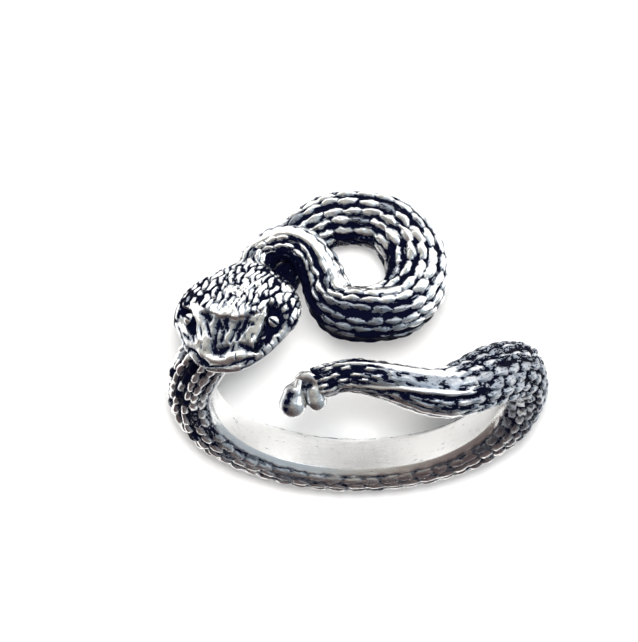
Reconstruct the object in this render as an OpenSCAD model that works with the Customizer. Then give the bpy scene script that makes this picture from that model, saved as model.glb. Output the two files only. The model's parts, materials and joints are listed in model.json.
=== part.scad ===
// Snake finger ring: one casting, open at the crown, lying on its side as it rests on a table.
// Ring frame: X across the finger, Y along the finger, Z up through the crown; origin on the finger's axis.

/* [Finger hole] */
// Inner diameter of the ring
finger_d = 17.5; // [16:0.25:20]
// Length of the straight part of the hole, across the band
straight_length = 3.6; // [2.4:0.1:4.4]
// How far the hole widens towards each end, under the tail and the loop
flare = 0.3; // [0.1:0.05:0.5]

/* [Body] */
// Thickness of the snake, as a share of the modelled thickness
girth = 1; // [0.9:0.02:1.04]
// Length of one scale along the body
scale_length = 1.15; // [0.95:0.05:1.6]
// Height of a scale over the groove round it
scale_relief = 0.17; // [0:0.01:0.2]

/* [Head] */
// Length of the head from nape to snout
head_length = 7.35; // [6.9:0.05:8]
// Width of the head across the cheeks
head_width = 8; // [7:0.1:8.6]
// Turn of the snout off the finger's direction, towards the left
head_yaw = 16; // [10:1:22]
// Lift of the snout off the finger's direction
head_pitch = 9; // [4:1:14]
// Roll of the head, which follows the round of the finger
head_roll = 21; // [14:1:28]
// Diameter of an eye
eye_d = 0.8; // [0.6:0.1:1]

/* [Rest] */
// Turn about the finger's cross direction that lays the ring on its side
lean = -73.5; // [-80:0.1:-66]
// Small turn that brings the third contact point down
tip = -0.6; // [-6:0.1:6]

/* [Hidden] */

hole_r = finger_d / 2;

// Stations of the snake from the rattle's tip to the nape, in these columns:
// turn round the finger from the crown, place along the finger, lift of the centreline over the finger,
// half width, rise above the centreline, drop below it, share of the scale relief
TURN = 0;
ALONG = 1;
LIFT = 2;
HALF_WIDTH = 3;
RISE = 4;
DROP = 5;
RELIEF = 6;
BODY = [
    // Rattle: a button, a waist, the wide segment, and the waist where the tail starts
    [-27, -6.5, 0.95, 0.5, 0.5, 0.6, 0],
    [-24, -6.3, 1, 0.92, 0.9, 1.05, 0],
    [-20.8, -5.95, 1.05, 0.78, 0.75, 0.9, 0],
    [-17.6, -5.6, 1.1, 1.32, 1.05, 1.2, 0],
    [-14.2, -5.4, 1.05, 0.98, 0.85, 1.1, 0],
    [-11, -5.2, 1, 0.66, 0.7, 1, 0.3],
    // Tail along the near edge of the crown
    [-7.5, -5, 1, 0.8, 0.85, 1.1, 0.6],
    [-3, -4.92, 1, 0.9, 0.95, 1.2, 0.6],
    [2, -5.02, 1.05, 0.98, 1, 1.25, 0.6],
    [8, -5.22, 1.1, 1.05, 1.1, 1.35, 0.5],
    [14, -5.42, 1.15, 1.16, 1.15, 1.4, 0.4],
    [20, -5.58, 1.2, 1.3, 1.2, 1.45, 0.4],
    [27, -5.57, 1.2, 1.42, 1.3, 1.5, 0.5],
    [34, -5.22, 1.25, 1.55, 1.35, 1.55, 0.6],
    [41.5, -4.4, 1.25, 1.68, 1.4, 1.55, 0.8],
    // Right side and round the back of the finger
    [50, -3.25, 1.3, 1.75, 1.45, 1.6, 1],
    [60, -1.95, 1.3, 1.75, 1.45, 1.6, 1],
    [71, -0.85, 1.3, 1.7, 1.45, 1.6, 1],
    [83, -0.15, 1.3, 1.65, 1.45, 1.6, 1],
    [96, 0.1, 1.3, 1.6, 1.45, 1.6, 1],
    [112, 0.1, 1.25, 1.6, 1.4, 1.55, 0.9],
    [129, 0.05, 1.2, 1.6, 1.35, 1.5, 0.8],
    [146, 0, 1.15, 1.6, 1.3, 1.45, 0.7],
    [163, 0, 1.15, 1.6, 1.3, 1.45, 0.7],
    [180, 0, 1.15, 1.6, 1.3, 1.45, 0.7],
    [197, 0, 1.15, 1.6, 1.3, 1.45, 0.7],
    [214, 0, 1.15, 1.6, 1.3, 1.45, 0.8],
    [231, -0.05, 1.2, 1.6, 1.35, 1.5, 0.9],
    [247, -0.05, 1.25, 1.6, 1.4, 1.55, 1],
    // Left side and under the head
    [260, -0.1, 1.25, 1.6, 1.4, 1.55, 1],
    [272, -0.2, 1.25, 1.55, 1.4, 1.55, 1],
    [284, -0.45, 1.25, 1.5, 1.4, 1.55, 1],
    [294.5, -0.35, 1.3, 1.5, 1.4, 1.6, 1],
    [305, -0.15, 1.3, 1.5, 1.4, 1.6, 1],
    [315, 0.4, 1.3, 1.45, 1.4, 1.6, 1],
    [323.5, 1.4, 1.35, 1.4, 1.4, 1.65, 1],
    [330.5, 2.65, 1.35, 1.4, 1.4, 1.65, 1],
    // Loop on the crown
    [336.7, 3.95, 1.35, 1.45, 1.4, 1.65, 1],
    [342.2, 4.9, 1.4, 1.55, 1.45, 1.7, 1],
    [350, 5.7, 1.4, 1.58, 1.5, 1.7, 1],
    [357.2, 5.85, 1.45, 1.62, 1.5, 1.75, 1],
    [363.8, 5.75, 1.5, 1.66, 1.55, 1.8, 1],
    [369.6, 5.45, 1.5, 1.72, 1.6, 1.8, 1],
    [374.5, 4.8, 1.5, 1.8, 1.65, 1.8, 1],
    [379, 3.75, 1.5, 1.88, 1.65, 1.8, 1],
    [380.5, 2.55, 1.5, 1.9, 1.65, 1.8, 1],
    [379.8, 1.4, 1.5, 1.85, 1.65, 1.8, 1],
    [376.8, 0.3, 1.5, 1.78, 1.65, 1.8, 1],
    [371.7, -0.55, 1.5, 1.66, 1.6, 1.8, 1],
    [363.4, -0.95, 1.5, 1.6, 1.6, 1.8, 1],
    [355.6, -0.75, 1.55, 1.55, 1.55, 1.8, 1],
    // Neck, which climbs off the loop and arches back over the body
    [351.2, 0.05, 1.8, 1.42, 1.45, 1.6, 1],
    [349.3, 1.15, 2.4, 1.3, 1.35, 1.35, 0.9],
    [347.8, 1.8, 3.05, 1.25, 1.2, 1.15, 0.8],
    [346.3, 2.3, 3.6, 1.15, 1.1, 1.05, 0.8],
    [343.8, 2.75, 3.95, 1.05, 1, 1, 0.7],
    [340, 2.98, 4.05, 1, 0.95, 0.95, 0.7],
    [335.8, 2.85, 4, 1.02, 0.95, 0.95, 0.7],
    [332.2, 2.3, 4.02, 1.06, 0.97, 0.95, 0.7],
    [330.9, 1.58, 4.05, 1.15, 1, 0.96, 0.6]
];

// Sections of the head, in these columns:
// share of the head's length, share of its half width, height of the top, height of the widest place, of the jaw
AT = 0;
WIDTH = 1;
TOP = 2;
WIDEST = 3;
JAW = 4;
HEAD = [
    [0.05, 0.36, 1.06, 0, -0.98],
    [0.1, 0.48, 1.18, 0, -1],
    [0.16, 0.64, 1.3, 0, -1.05],
    [0.24, 0.82, 1.45, 0, -1.15],
    [0.34, 0.95, 1.56, 0, -1.24],
    [0.45, 1.01, 1.62, 0, -1.28],
    [0.54, 1, 1.62, -0.03, -1.3],
    [0.64, 0.93, 1.5, -0.1, -1.28],
    [0.73, 0.83, 1.14, -0.2, -1.24],
    [0.82, 0.72, 0.74, -0.3, -1.2],
    [0.9, 0.58, 0.38, -0.42, -1.14],
    [0.96, 0.46, 0.06, -0.5, -1.06],
    [1, 0.34, -0.2, -0.55, -0.92]
];

// Columns of a section: scale rows and the grooves beside them on the back and flanks, then the smooth belly
scale_rows = 9;
back_span = 240;
half_row = back_span / (2 * scale_rows);
belly_span = 360 - back_span;
back_columns = [for (k = [0 : 2 * scale_rows]) -back_span / 2 + k * half_row];
belly_columns = [for (k = [1 : 2]) back_span / 2 + k * belly_span / 3];
columns = concat(back_columns, belly_columns);
sides = len(columns);
head_columns = [for (j = [0 : sides - 1]) each [columns[j], mid_column(j)]];
head_sides = 2 * sides;

// Samples of the curve between two stations, for measuring its length
fine = 8;

function mid_column(j) = (columns[j] + (j == sides - 1 ? columns[0] + 360 : columns[j + 1])) / 2;
function unit(v) = v / norm(v);
function mix(a, b, f) = a + (b - a) * f;
function bell(d, size) = exp(-(d / size) ^ 2);

// A point of the ring frame from its turn round the finger, its place along it and its lift over it
function place(turn, along, lift) = [(hole_r + lift) * sin(turn), along, (hole_r + lift) * cos(turn)];

// A smooth curve through a list of rows; u counts rows from 0
function row_at(rows, k) =
    k < 0 ? 2 * rows[0] - rows[1]
    : k >= len(rows) ? 2 * rows[len(rows) - 1] - rows[len(rows) - 2]
    : rows[k];
function cubic(a, b, c, d, f) =
    (2 * b + (c - a) * f + (2 * a - 5 * b + 4 * c - d) * f * f + (3 * b - a - 3 * c + d) * f * f * f) / 2;
function curve(rows, u) =
    let (k = min(floor(u), len(rows) - 2))
    cubic(row_at(rows, k - 1), row_at(rows, k), row_at(rows, k + 1), row_at(rows, k + 2), u - k);

// Length of each widening end of the hole, clear of the loop and the tail
flare_length = 8;

// Body stations with a point in place of turn, place and lift
body_rows = [
    for (b = BODY)
        concat(
            place(b[TURN], b[ALONG], b[LIFT]),
            [b[HALF_WIDTH], b[RISE], b[DROP]] * girth,
            [b[RELIEF] * scale_relief]
        )
];
function middle(row) = [row[0], row[1], row[2]];

// Rings stand half a scale apart along the body's length
fine_points = [for (k = [0 : fine * (len(BODY) - 1)]) middle(curve(body_rows, k / fine))];
steps = [for (k = [1 : len(fine_points) - 1]) norm(fine_points[k] - fine_points[k - 1])];
lengths = [for (k = 0, s = 0; k <= len(steps); s = s + (k < len(steps) ? steps[k] : 0), k = k + 1) s];
body_length = lengths[len(lengths) - 1];
station_of = [for (k = [0 : len(lengths) - 1]) [lengths[k], k / fine]];
last_ring = round(2 * body_length / scale_length);
rings = [for (i = [0 : last_ring]) curve(body_rows, lookup(i * body_length / last_ring, station_of))];

// Rings before the nape that turn into the head's direction
nape_rings = 4;

// Height of the belly's long plates, as a share of a scale's height
belly_share = 0.3;

// One ring of the body: an oval across the path, its back turned away from the finger
function chord(i) = unit(middle(rings[min(i + 1, last_ring)]) - middle(rings[max(i - 1, 0)]));
function path_direction(i) = unit(mix(chord(i), snout_dir, max(0, 1 - (last_ring - i) / nape_rings)));
function outward(p) = unit([p[0], 0, p[2]]);
function is_crest(j) = j % 2 == 1 && j < 2 * scale_rows;
function is_raised(i, j) = is_crest(j) && (i + (j - 1) / 2) % 2 == 0;
function scale_height(i, j) = is_raised(i, j) ? 1 : j > 2 * scale_rows ? belly_share : 0;
function body_ring(i) =
    let (
        p = middle(rings[i]),
        along = path_direction(i),
        up = unit(outward(p) - (outward(p) * along) * along),
        side = cross(along, up),
        relief = rings[i][RELIEF]
    )
    [
        for (j = [0 : sides - 1])
            let (
                across = sin(columns[j]),
                height = cos(columns[j]),
                raise = relief * scale_height(i, j),
                reach = height > 0 ? rings[i][RISE] : rings[i][DROP]
            )
            p + side * across * (rings[i][HALF_WIDTH] + raise) + up * height * (reach + raise)
    ];

// Head frame: snout direction, side and crown of the head, from the nape
nape = middle(rings[last_ring]);
snout_dir = [-cos(head_pitch) * sin(head_yaw), -cos(head_pitch) * cos(head_yaw), sin(head_pitch)];
level_side = [cos(head_yaw), -sin(head_yaw), 0];
level_up = cross(snout_dir, level_side);
head_up = level_up * cos(head_roll) - level_side * sin(head_roll);
head_side = cross(snout_dir, head_up);

// Eyes and their sockets: head lengths forward, column angle, depth of the ball's centre and of the socket
eye_at = 0.665;
eye_angle = 54;
eye_sink = 0.14;
socket_depth = 0.62 * eye_d;
socket_size = 1.25 * eye_d;

// Brow ridges: head lengths forward, column angle, height and how far they spread
brow_at = 0.58;
brow_angle = 38;
brow_height = 0.22;
brow_spread = 0.2;
brow_width = 9;

// Grooves fanned over the face, and the scales of the crown
face_from = 0.67;
face_to = 0.93;
face_depth = 0.13;
crown_from = 0.08;
crown_to = 0.57;
crown_half_span = 100;
crown_height = 0.12;

// Nostrils and heat pits: head lengths forward, column angle and size
nostril_at = 0.86;
nostril_angle = 42;
nostril_size = 0.3;
pit_at = 0.83;
pit_angle = 88;
pit_size = 0.34;
pit_depth = 0.34;

// Mouth line, with the lip that stands over it
mouth_from = 0.5;
mouth_angle = 112;
mouth_depth = 0.13;
mouth_width = 4;
lip_height = 0.07;
lip_angle = 98;
lip_width = 8;

// Ends of the snout and of the rattle's button, and the head's ring spacing
snout_reach = 0.15;
snout_height = -0.6;
button_reach = 0.35;
head_step = 0.26;
head_rings = ceil(head_length * (1 - HEAD[0][AT]) / head_step);

function head_section(t) =
    let (
        k = [for (r = [0 : len(HEAD) - 2]) if (t >= HEAD[r][AT]) r],
        r = len(k) == 0 ? 0 : k[len(k) - 1]
    )
    curve(HEAD, r + (t - HEAD[r][AT]) / (HEAD[r + 1][AT] - HEAD[r][AT]));

// Rounds a section a little more boxily than an oval
boxiness = 0.8;
function boxy(v) = sign(v) * abs(v) ^ boxiness;

function on_head(forward, sideways, up) = nape + snout_dir * forward + head_side * sideways + head_up * up;

// A point of the smooth head in its own frame: forward, sideways, up
function head_skin(t, angle) =
    let (s = head_section(t))
    [
        t * head_length,
        s[WIDTH] * head_width / 2 * boxy(sin(angle)),
        s[WIDEST] + (cos(angle) > 0 ? s[TOP] - s[WIDEST] : s[WIDEST] - s[JAW]) * boxy(cos(angle))
    ];
function apart(t, angle, at, where) = norm(head_skin(t, angle) - head_skin(at, sign(angle) * where));

// How far a feature stands off the smooth head
function eye_relief(t, angle) =
    -socket_depth * exp(-(apart(t, angle, eye_at, eye_angle) / socket_size) ^ 4);
function brow_relief(t, angle) =
    brow_height * bell(abs(angle) - brow_angle, brow_width) * bell(t - brow_at, brow_spread);
function face_relief(t, angle, j) =
    t > face_from && t < face_to && abs(angle) < brow_angle && j % 2 == 0 ? -face_depth : 0;
function crown_relief(t, angle, i, j) =
    t > crown_from && t < crown_to && abs(angle) < crown_half_span && (floor(i / 2) + j) % 2 == 0
    ? crown_height : 0;
function pit_relief(t, angle) =
    -pit_depth * bell(apart(t, angle, nostril_at, nostril_angle), nostril_size)
    - pit_depth * bell(apart(t, angle, pit_at, pit_angle), pit_size);
function mouth_relief(t, angle) =
    t > mouth_from
    ? lip_height * bell(abs(angle) - lip_angle, lip_width)
        - mouth_depth * bell(abs(angle) - mouth_angle, mouth_width)
    : 0;
function head_point(i, j) =
    let (
        t = mix(HEAD[0][AT], 1, i / head_rings),
        angle = head_columns[j] > 180 ? head_columns[j] - 360 : head_columns[j],
        raise = eye_relief(t, angle) + brow_relief(t, angle) + face_relief(t, angle, j)
            + crown_relief(t, angle, i, j) + pit_relief(t, angle) + mouth_relief(t, angle),
        q = head_skin(t, angle)
    )
    on_head(q[0], q[1] + raise * sin(angle), q[2] + raise * cos(angle));

// All points: the tail's end, body rings, head rings, the snout's end
tail_end = middle(rings[0]) - path_direction(0) * button_reach;
snout_end = on_head(head_length + snout_reach, 0, snout_height);
body_points = [for (i = [0 : last_ring]) each body_ring(i)];
head_points = [for (i = [0 : head_rings]) each [for (j = [0 : head_sides - 1]) head_point(i, j)]];
points = concat([tail_end], body_points, head_points, [snout_end]);

function body_index(i, j) = 1 + i * sides + j % sides;
function head_index(i, j) = 1 + (last_ring + 1) * sides + i * head_sides + j % head_sides;

// Two triangles of a four-sided patch, cut from its first corner or from its second
function patch(a, b, c, d, from_first) = from_first ? [[a, c, b], [a, d, c]] : [[a, d, b], [b, d, c]];
function cut_from_first(i, j) = is_crest(j) == (is_raised(i, j) || is_raised(i, j + 1));

tail_faces = [for (j = [0 : sides - 1]) [0, body_index(0, j), body_index(0, j + 1)]];
body_faces = [
    for (i = [0 : last_ring - 1], j = [0 : sides - 1])
        each patch(
            body_index(i, j), body_index(i, j + 1), body_index(i + 1, j + 1), body_index(i + 1, j),
            cut_from_first(i, j)
        )
];
nape_faces = [
    for (j = [0 : sides - 1])
        let (
            a = body_index(last_ring, j),
            b = body_index(last_ring, j + 1),
            c = head_index(0, 2 * j),
            d = head_index(0, 2 * j + 1),
            e = head_index(0, 2 * j + 2)
        )
        each [[a, c, d], [a, d, b], [b, d, e]]
];
head_faces = [
    for (i = [0 : head_rings - 1], j = [0 : head_sides - 1])
        each patch(
            head_index(i, j), head_index(i, j + 1), head_index(i + 1, j + 1), head_index(i + 1, j),
            (i + j) % 2 == 0
        )
];
snout_faces = [for (j = [0 : head_sides - 1])
    [head_index(head_rings, j + 1), head_index(head_rings, j), len(points) - 1]];

// Lying on its side: the turned points give the shift that sets the ring on the table, centred
function about_x(v, a) = [v[0], v[1] * cos(a) - v[2] * sin(a), v[1] * sin(a) + v[2] * cos(a)];
function about_y(v, a) = [v[0] * cos(a) + v[2] * sin(a), v[1], v[2] * cos(a) - v[0] * sin(a)];
lying = [for (p = points) about_y(about_x(p, lean), tip)];
low = [for (k = [0 : 2]) min([for (p = lying) p[k]])];
high = [for (k = [0 : 2]) max([for (p = lying) p[k]])];
shift = [-(low[0] + high[0]) / 2, -(low[1] + high[1]) / 2, -low[2]];

module snake_body() {
    polyhedron(points, concat(tail_faces, body_faces, nape_faces, head_faces, snout_faces), convexity = 10);
}

module eyes() {
    for (angle = [-eye_angle, eye_angle])
        let (q = head_skin(eye_at, angle))
            translate(on_head(q[0], q[1] - eye_sink * sin(angle), q[2] - eye_sink * cos(angle)))
                sphere(d = eye_d, $fn = 24);
}

// Straight across the band, then widening evenly towards both ends
module finger_hole() {
    straight = straight_length / 2;
    end = straight + flare_length;
    rotate([90, 0, 0])
        rotate_extrude($fn = 180)
            polygon([[0, -end], [hole_r + flare, -end], [hole_r, -straight], [hole_r, straight],
                [hole_r + flare, end], [0, end]]);
}

module snake_ring() {
    color("silver")
        rotate([0, 0, 180])
            translate(shift)
                rotate([lean, tip, 0])
                    difference() {
                        union() {
                            snake_body();
                            eyes();
                        }
                        finger_hole();
                    }
}

snake_ring();
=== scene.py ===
"""A snake ring in antiqued silver, lying on its side on a pale table."""
import json
import logging
import math
from dataclasses import dataclass
from enum import Enum
from typing import NamedTuple

import bpy
import numpy as np
from mathutils import Matrix, Vector


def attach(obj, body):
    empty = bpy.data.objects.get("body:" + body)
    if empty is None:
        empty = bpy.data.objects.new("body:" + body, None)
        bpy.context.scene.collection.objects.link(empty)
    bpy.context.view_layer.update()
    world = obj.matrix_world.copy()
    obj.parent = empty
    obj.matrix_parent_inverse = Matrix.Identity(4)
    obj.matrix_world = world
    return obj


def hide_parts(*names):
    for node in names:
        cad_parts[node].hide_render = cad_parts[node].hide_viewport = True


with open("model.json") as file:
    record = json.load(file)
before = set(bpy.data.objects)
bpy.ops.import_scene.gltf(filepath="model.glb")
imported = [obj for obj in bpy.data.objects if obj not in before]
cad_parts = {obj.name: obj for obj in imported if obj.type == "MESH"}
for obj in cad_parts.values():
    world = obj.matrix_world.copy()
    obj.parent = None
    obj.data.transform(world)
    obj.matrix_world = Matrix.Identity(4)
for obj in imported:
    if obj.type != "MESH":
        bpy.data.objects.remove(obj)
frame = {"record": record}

log = logging.getLogger("snake_ring")

MM = 0.001

Array = np.ndarray
Pair = tuple[float, float]
Triple = tuple[float, float, float]
Socket = bpy.types.NodeSocket


# Small helpers for curves, patterns and soft steps

def step(low: float, high: float, value: Array) -> Array:
    """A smooth step from 0 at low to 1 at high; low may be the larger one."""
    share = np.clip((value - low) / (high - low), 0, 1)
    return share * share * (3 - 2 * share)


def bell(distance: Array, size: float) -> Array:
    """A smooth bump that is 1 at the centre and a third of that at its size."""
    return np.exp(-((distance / size) ** 2))


def within(value: Array, start: float, full: float, fade: float, end: float) -> Array:
    """Rises from start to full, and falls again from fade to end."""
    return step(start, full, value) * step(end, fade, value)


def scatter(first: Array, second: Array, salt: float) -> Array:
    """A fixed number from -1 to 1 for each pair of whole numbers.

    Args:
        first: Whole numbers along one direction.
        second: Whole numbers along the other direction.
        salt: A number that tells one use from another.

    Returns:
        The same spread of numbers on every run.
    """
    mixed = np.sin(first * 127.1 + second * 311.7 + salt * 74.7) * 43758.5453
    return 2 * (mixed - np.floor(mixed)) - 1


def ripple(first: Array, second: Array, salt: float) -> Array:
    """Smooth uneven waves from -1 to 1, about one to each whole number.

    Args:
        first: Places along one direction.
        second: Places along the other direction.
        salt: A number that tells one use from another.

    Returns:
        The wave's height at each place.
    """
    left, low = np.floor(first), np.floor(second)
    toward_right, toward_top = step(0, 1, first - left), step(0, 1, second - low)
    below, above = (
        scatter(left, row, salt) * (1 - toward_right) + scatter(left + 1, row, salt) * toward_right
        for row in (low, low + 1)
    )
    return below * (1 - toward_top) + above * toward_top


def through(rows: Array, place: Array) -> Array:
    """A smooth curve through a table's rows.

    Args:
        rows: The table, one row for each station.
        place: Places on the curve, counted in rows from 0.

    Returns:
        One row of values for each place.
    """
    padded = np.vstack([2 * rows[0] - rows[1], rows, 2 * rows[-1] - rows[-2]])
    first = np.clip(np.floor(place).astype(int), 0, len(rows) - 2)
    share = (place - first)[..., None]
    a, b, c, d = (padded[first + k] for k in range(4))
    bend = 2 * a - 5 * b + 4 * c - d
    twist = 3 * b - a - 3 * c + d
    return (2 * b + (c - a) * share + bend * share**2 + twist * share**3) / 2


def unit(vectors: Array) -> Array:
    """The same directions, one long."""
    return vectors / np.linalg.norm(vectors, axis=-1, keepdims=True)


def to_line(points: Array, line: Array, widths: Array) -> Array:
    """Distance of each point to a line of straight stretches, as a share of the line's width there.

    Args:
        points: Any array of points.
        line: The line's corners, in order.
        widths: The line's half width at each corner.

    Returns:
        The share at the nearest stretch, 1 on the line's edge.
    """
    nearest = np.full(points.shape[:-1], np.inf)
    for start, end, first, last in zip(line[:-1], line[1:], widths[:-1], widths[1:]):
        run = end - start
        share = np.clip(((points - start) @ run) / (run @ run), 0, 1)
        gap = np.linalg.norm(points - start - share[..., None] * run, axis=-1)
        nearest = np.minimum(nearest, gap / (first + (last - first) * share))
    return nearest


def ball(rows: int, columns: int, opening: float) -> Array:
    """Directions all round a middle.

    Args:
        rows: How many rings there are from pole to pole.
        columns: How many directions each ring has.
        opening: The share of the way by which the first and the last ring stay off the poles.

    Returns:
        A grid of directions, one long.
    """
    polar = np.linspace(opening, 1 - opening, rows)[:, None] * math.pi
    turn = np.linspace(0, 2 * math.pi, columns, endpoint=False)[None, :]
    out = np.sin(polar)
    return np.stack([np.cos(polar) + 0 * turn, out * np.cos(turn), out * np.sin(turn)], -1)


# The ring's own frame

@dataclass(frozen=True)
class RingFrame:
    """Millimetres from the middle of the hole, and how they lie on the table.

    X runs across the hole, Y along it and Z up through the crown.
    """

    centre: Triple
    hole_radius: float
    lean: float = -73.5
    tip: float = -0.6
    straight_half: float = 1.8
    flare_slope: float = 0.0375

    def turning(self) -> Array:
        """The rotation from the ring's frame to the table's.

        Returns:
            A matrix of three rows.
        """
        about_x = Matrix.Rotation(math.radians(self.lean), 3, "X")
        about_y = Matrix.Rotation(math.radians(self.tip), 3, "Y")
        half_turn = Matrix.Rotation(math.pi, 3, "Z")
        return np.array(half_turn @ about_y @ about_x)

    def on_table(self, points: Array) -> Array:
        """Points of the ring in metres, where the ring lies."""
        return points @ self.turning().T * MM + np.array(self.centre)

    def direction(self, vector: Triple) -> Vector:
        """A direction of the ring's frame, seen in the table's."""
        return Vector(self.turning() @ np.array(vector))

    def outside_hole(self, points: Array) -> tuple[Array, Array]:
        """Keeps points out of the hole.

        Args:
            points: Points in the ring's frame.

        Returns:
            The points, those within the hole moved out to its wall, and how far each was moved.
        """
        radius = np.hypot(points[..., 0], points[..., 2])
        past_straight = np.maximum(np.abs(points[..., 1]) - self.straight_half, 0)
        wall = self.hole_radius + self.flare_slope * past_straight
        grow = np.maximum(wall / radius, 1)
        moved = points.copy()
        moved[..., 0] *= grow
        moved[..., 2] *= grow
        return moved, np.maximum(wall - radius, 0)


# The snake's body

class Dent(NamedTuple):
    """A small dark dent on the tail, in degrees of turn and column angle, with its reach in both."""

    turn: float
    angle: float
    along: float
    across: float


TAIL_DENTS = (
    Dent(6.1, 38, 1, 5), Dent(3.5, 22, 1.4, 5), Dent(7.5, 4, 1.6, 5), Dent(2, 50, 1.2, 4),
    Dent(9.5, 20, 0.8, 6), Dent(11.4, 30, 1.1, 4), Dent(13.1, 2, 1, 5), Dent(15.2, -8, 1.2, 4),
    Dent(17.1, 24, 0.9, 4), Dent(20.8, -3, 1.1, 6), Dent(19.6, 4, 0.8, 4), Dent(27.6, 4, 0.6, 8),
    Dent(29, 10, 0.6, 4), Dent(33.5, 16, 1.5, 3), Dent(38.5, 20, 2.4, 4), Dent(18, 66, 1.8, 5),
    Dent(24, 58, 2.2, 4), Dent(29, 66, 2, 5), Dent(12, 84, 2, 5), Dent(6, 92, 1.8, 5),
    Dent(34, 62, 2.2, 5), Dent(22, 78, 2.5, 4),
)


class Station(NamedTuple):
    """One station of the body, in degrees and millimetres."""

    turn: float
    along: float
    lift: float
    half_width: float
    rise: float
    drop: float
    relief: float


class Lump(NamedTuple):
    """A round lump of the rattle: its middle in the ring's frame and its radius, in millimetres."""

    x: float
    y: float
    z: float
    radius: float


BUTTON = (Lump(-3.89, -6.44, 8.98, 0.85), Lump(-3.83, -5.94, 9.29, 0.67), Lump(-3.66, -5.62, 9.48, 0.45))
BUTTON_RIDGE = (Lump(-3.5, -5.32, 9.88, 0.23), Lump(-3.56, -5.71, 9.77, 0.23), Lump(-3.67, -6.15, 9.68, 0.22))
BUTTON_MARKS = (Lump(-4.05, -6.3, 9.83, 0.2), Lump(-4.28, -6.72, 9.7, 0.2), Lump(-4.34, -7.05, 9.35, 0.15))

ARCH = (
    Lump(-3.56, -5.23, 9.8, 0.27), Lump(-3.32, -5.12, 10.03, 0.3), Lump(-2.93, -5.14, 10.08, 0.3),
    Lump(-2.56, -5.28, 9.94, 0.28), Lump(-2.29, -5.52, 9.69, 0.26), Lump(-2.16, -5.76, 9.37, 0.24),
)
LOBE = (Lump(-3.08, -5.74, 9.15, 0.36), Lump(-2.54, -5.79, 9.22, 0.64), Lump(-2.46, -6.21, 8.96, 0.63))
LOBE_ROOT = (Lump(-2.8, -5.33, 9.16, 0.48), Lump(-1.98, -5.28, 9.4, 0.72))
LOBE_PIT = (Lump(-2.99, -5.45, 9.65, 0.24), Lump(-2.77, -5.53, 9.57, 0.2))
LOBE_MARKS = (Lump(-3.02, -5.39, 9.59, 0.3), Lump(-2.77, -5.49, 9.53, 0.22))
LOBE_FOLD = (
    Lump(-3, -6.48, 9, 0.05), Lump(-2.77, -6.64, 9.23, 0.04), Lump(-2.53, -6.68, 9.3, 0.035),
    Lump(-2.29, -6.66, 9.28, 0.035), Lump(-2.07, -6.56, 9.19, 0.03),
)

RATTLE = (
    Station(-27, -6.5, 0.95, 0.4, 0.4, 0.5, 0),
    Station(-24, -6.3, 1, 0.5, 0.5, 0.6, 0),
    Station(-20.8, -5.95, 1.05, 0.5, 0.5, 0.7, 0),
    Station(-17.6, -5.4, 1.1, 0.75, 0.7, 1, 0.5),
    Station(-14.2, -5.3, 1.05, 0.93, 0.78, 1.05, 0.5),
    Station(-11, -5.18, 1, 0.95, 0.84, 1.05, 0.6),
)

TAIL = (
    Station(-7.5, -5, 1, 0.9, 0.88, 1.1, 0.6),
    Station(-3, -4.92, 1, 0.93, 0.95, 1.2, 0.6),
    Station(2, -5.02, 1.05, 0.98, 1, 1.25, 0.6),
    Station(8, -5.22, 1.1, 1.05, 1.1, 1.35, 0.5),
    Station(14, -5.42, 1.15, 1.16, 1.15, 1.4, 0.4),
    Station(20, -5.58, 1.2, 1.3, 1.2, 1.45, 0.4),
    Station(27, -5.57, 1.2, 1.42, 1.3, 1.5, 0.5),
    Station(34, -5.22, 1.25, 1.55, 1.35, 1.55, 0.6),
    Station(41.5, -4.4, 1.25, 1.68, 1.4, 1.55, 0.8),
)

BAND = (
    Station(50, -3.25, 1.3, 1.75, 1.45, 1.6, 1),
    Station(60, -1.95, 1.3, 1.75, 1.45, 1.6, 1),
    Station(71, -0.85, 1.3, 1.7, 1.45, 1.6, 1),
    Station(83, -0.15, 1.3, 1.65, 1.45, 1.6, 1),
    Station(96, 0.1, 1.3, 1.6, 1.45, 1.6, 1),
    Station(112, 0.1, 1.25, 1.6, 1.4, 1.55, 0.9),
    Station(129, 0.05, 1.2, 1.6, 1.35, 1.5, 0.8),
    Station(146, 0, 1.15, 1.6, 1.3, 1.45, 0.7),
    Station(163, 0, 1.15, 1.6, 1.3, 1.45, 0.7),
    Station(180, 0, 1.15, 1.6, 1.3, 1.45, 0.7),
    Station(197, 0, 1.15, 1.6, 1.3, 1.45, 0.7),
    Station(214, 0, 1.15, 1.6, 1.3, 1.45, 0.8),
    Station(231, -0.05, 1.2, 1.6, 1.35, 1.5, 0.9),
    Station(247, -0.05, 1.25, 1.6, 1.4, 1.55, 1),
    Station(260, -0.1, 1.25, 1.6, 1.4, 1.55, 1),
    Station(272, -0.2, 1.25, 1.55, 1.4, 1.55, 1),
    Station(284, -0.45, 1.25, 1.5, 1.4, 1.55, 1),
    Station(294.5, -0.35, 1.3, 1.5, 1.4, 1.6, 1),
    Station(305, -0.15, 1.3, 1.5, 1.4, 1.6, 1),
    Station(315, 0.4, 1.3, 1.45, 1.4, 1.6, 1),
    Station(323.5, 1.4, 1.35, 1.4, 1.4, 1.65, 1),
    Station(330.5, 2.65, 1.35, 1.4, 1.4, 1.65, 1),
)

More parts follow.
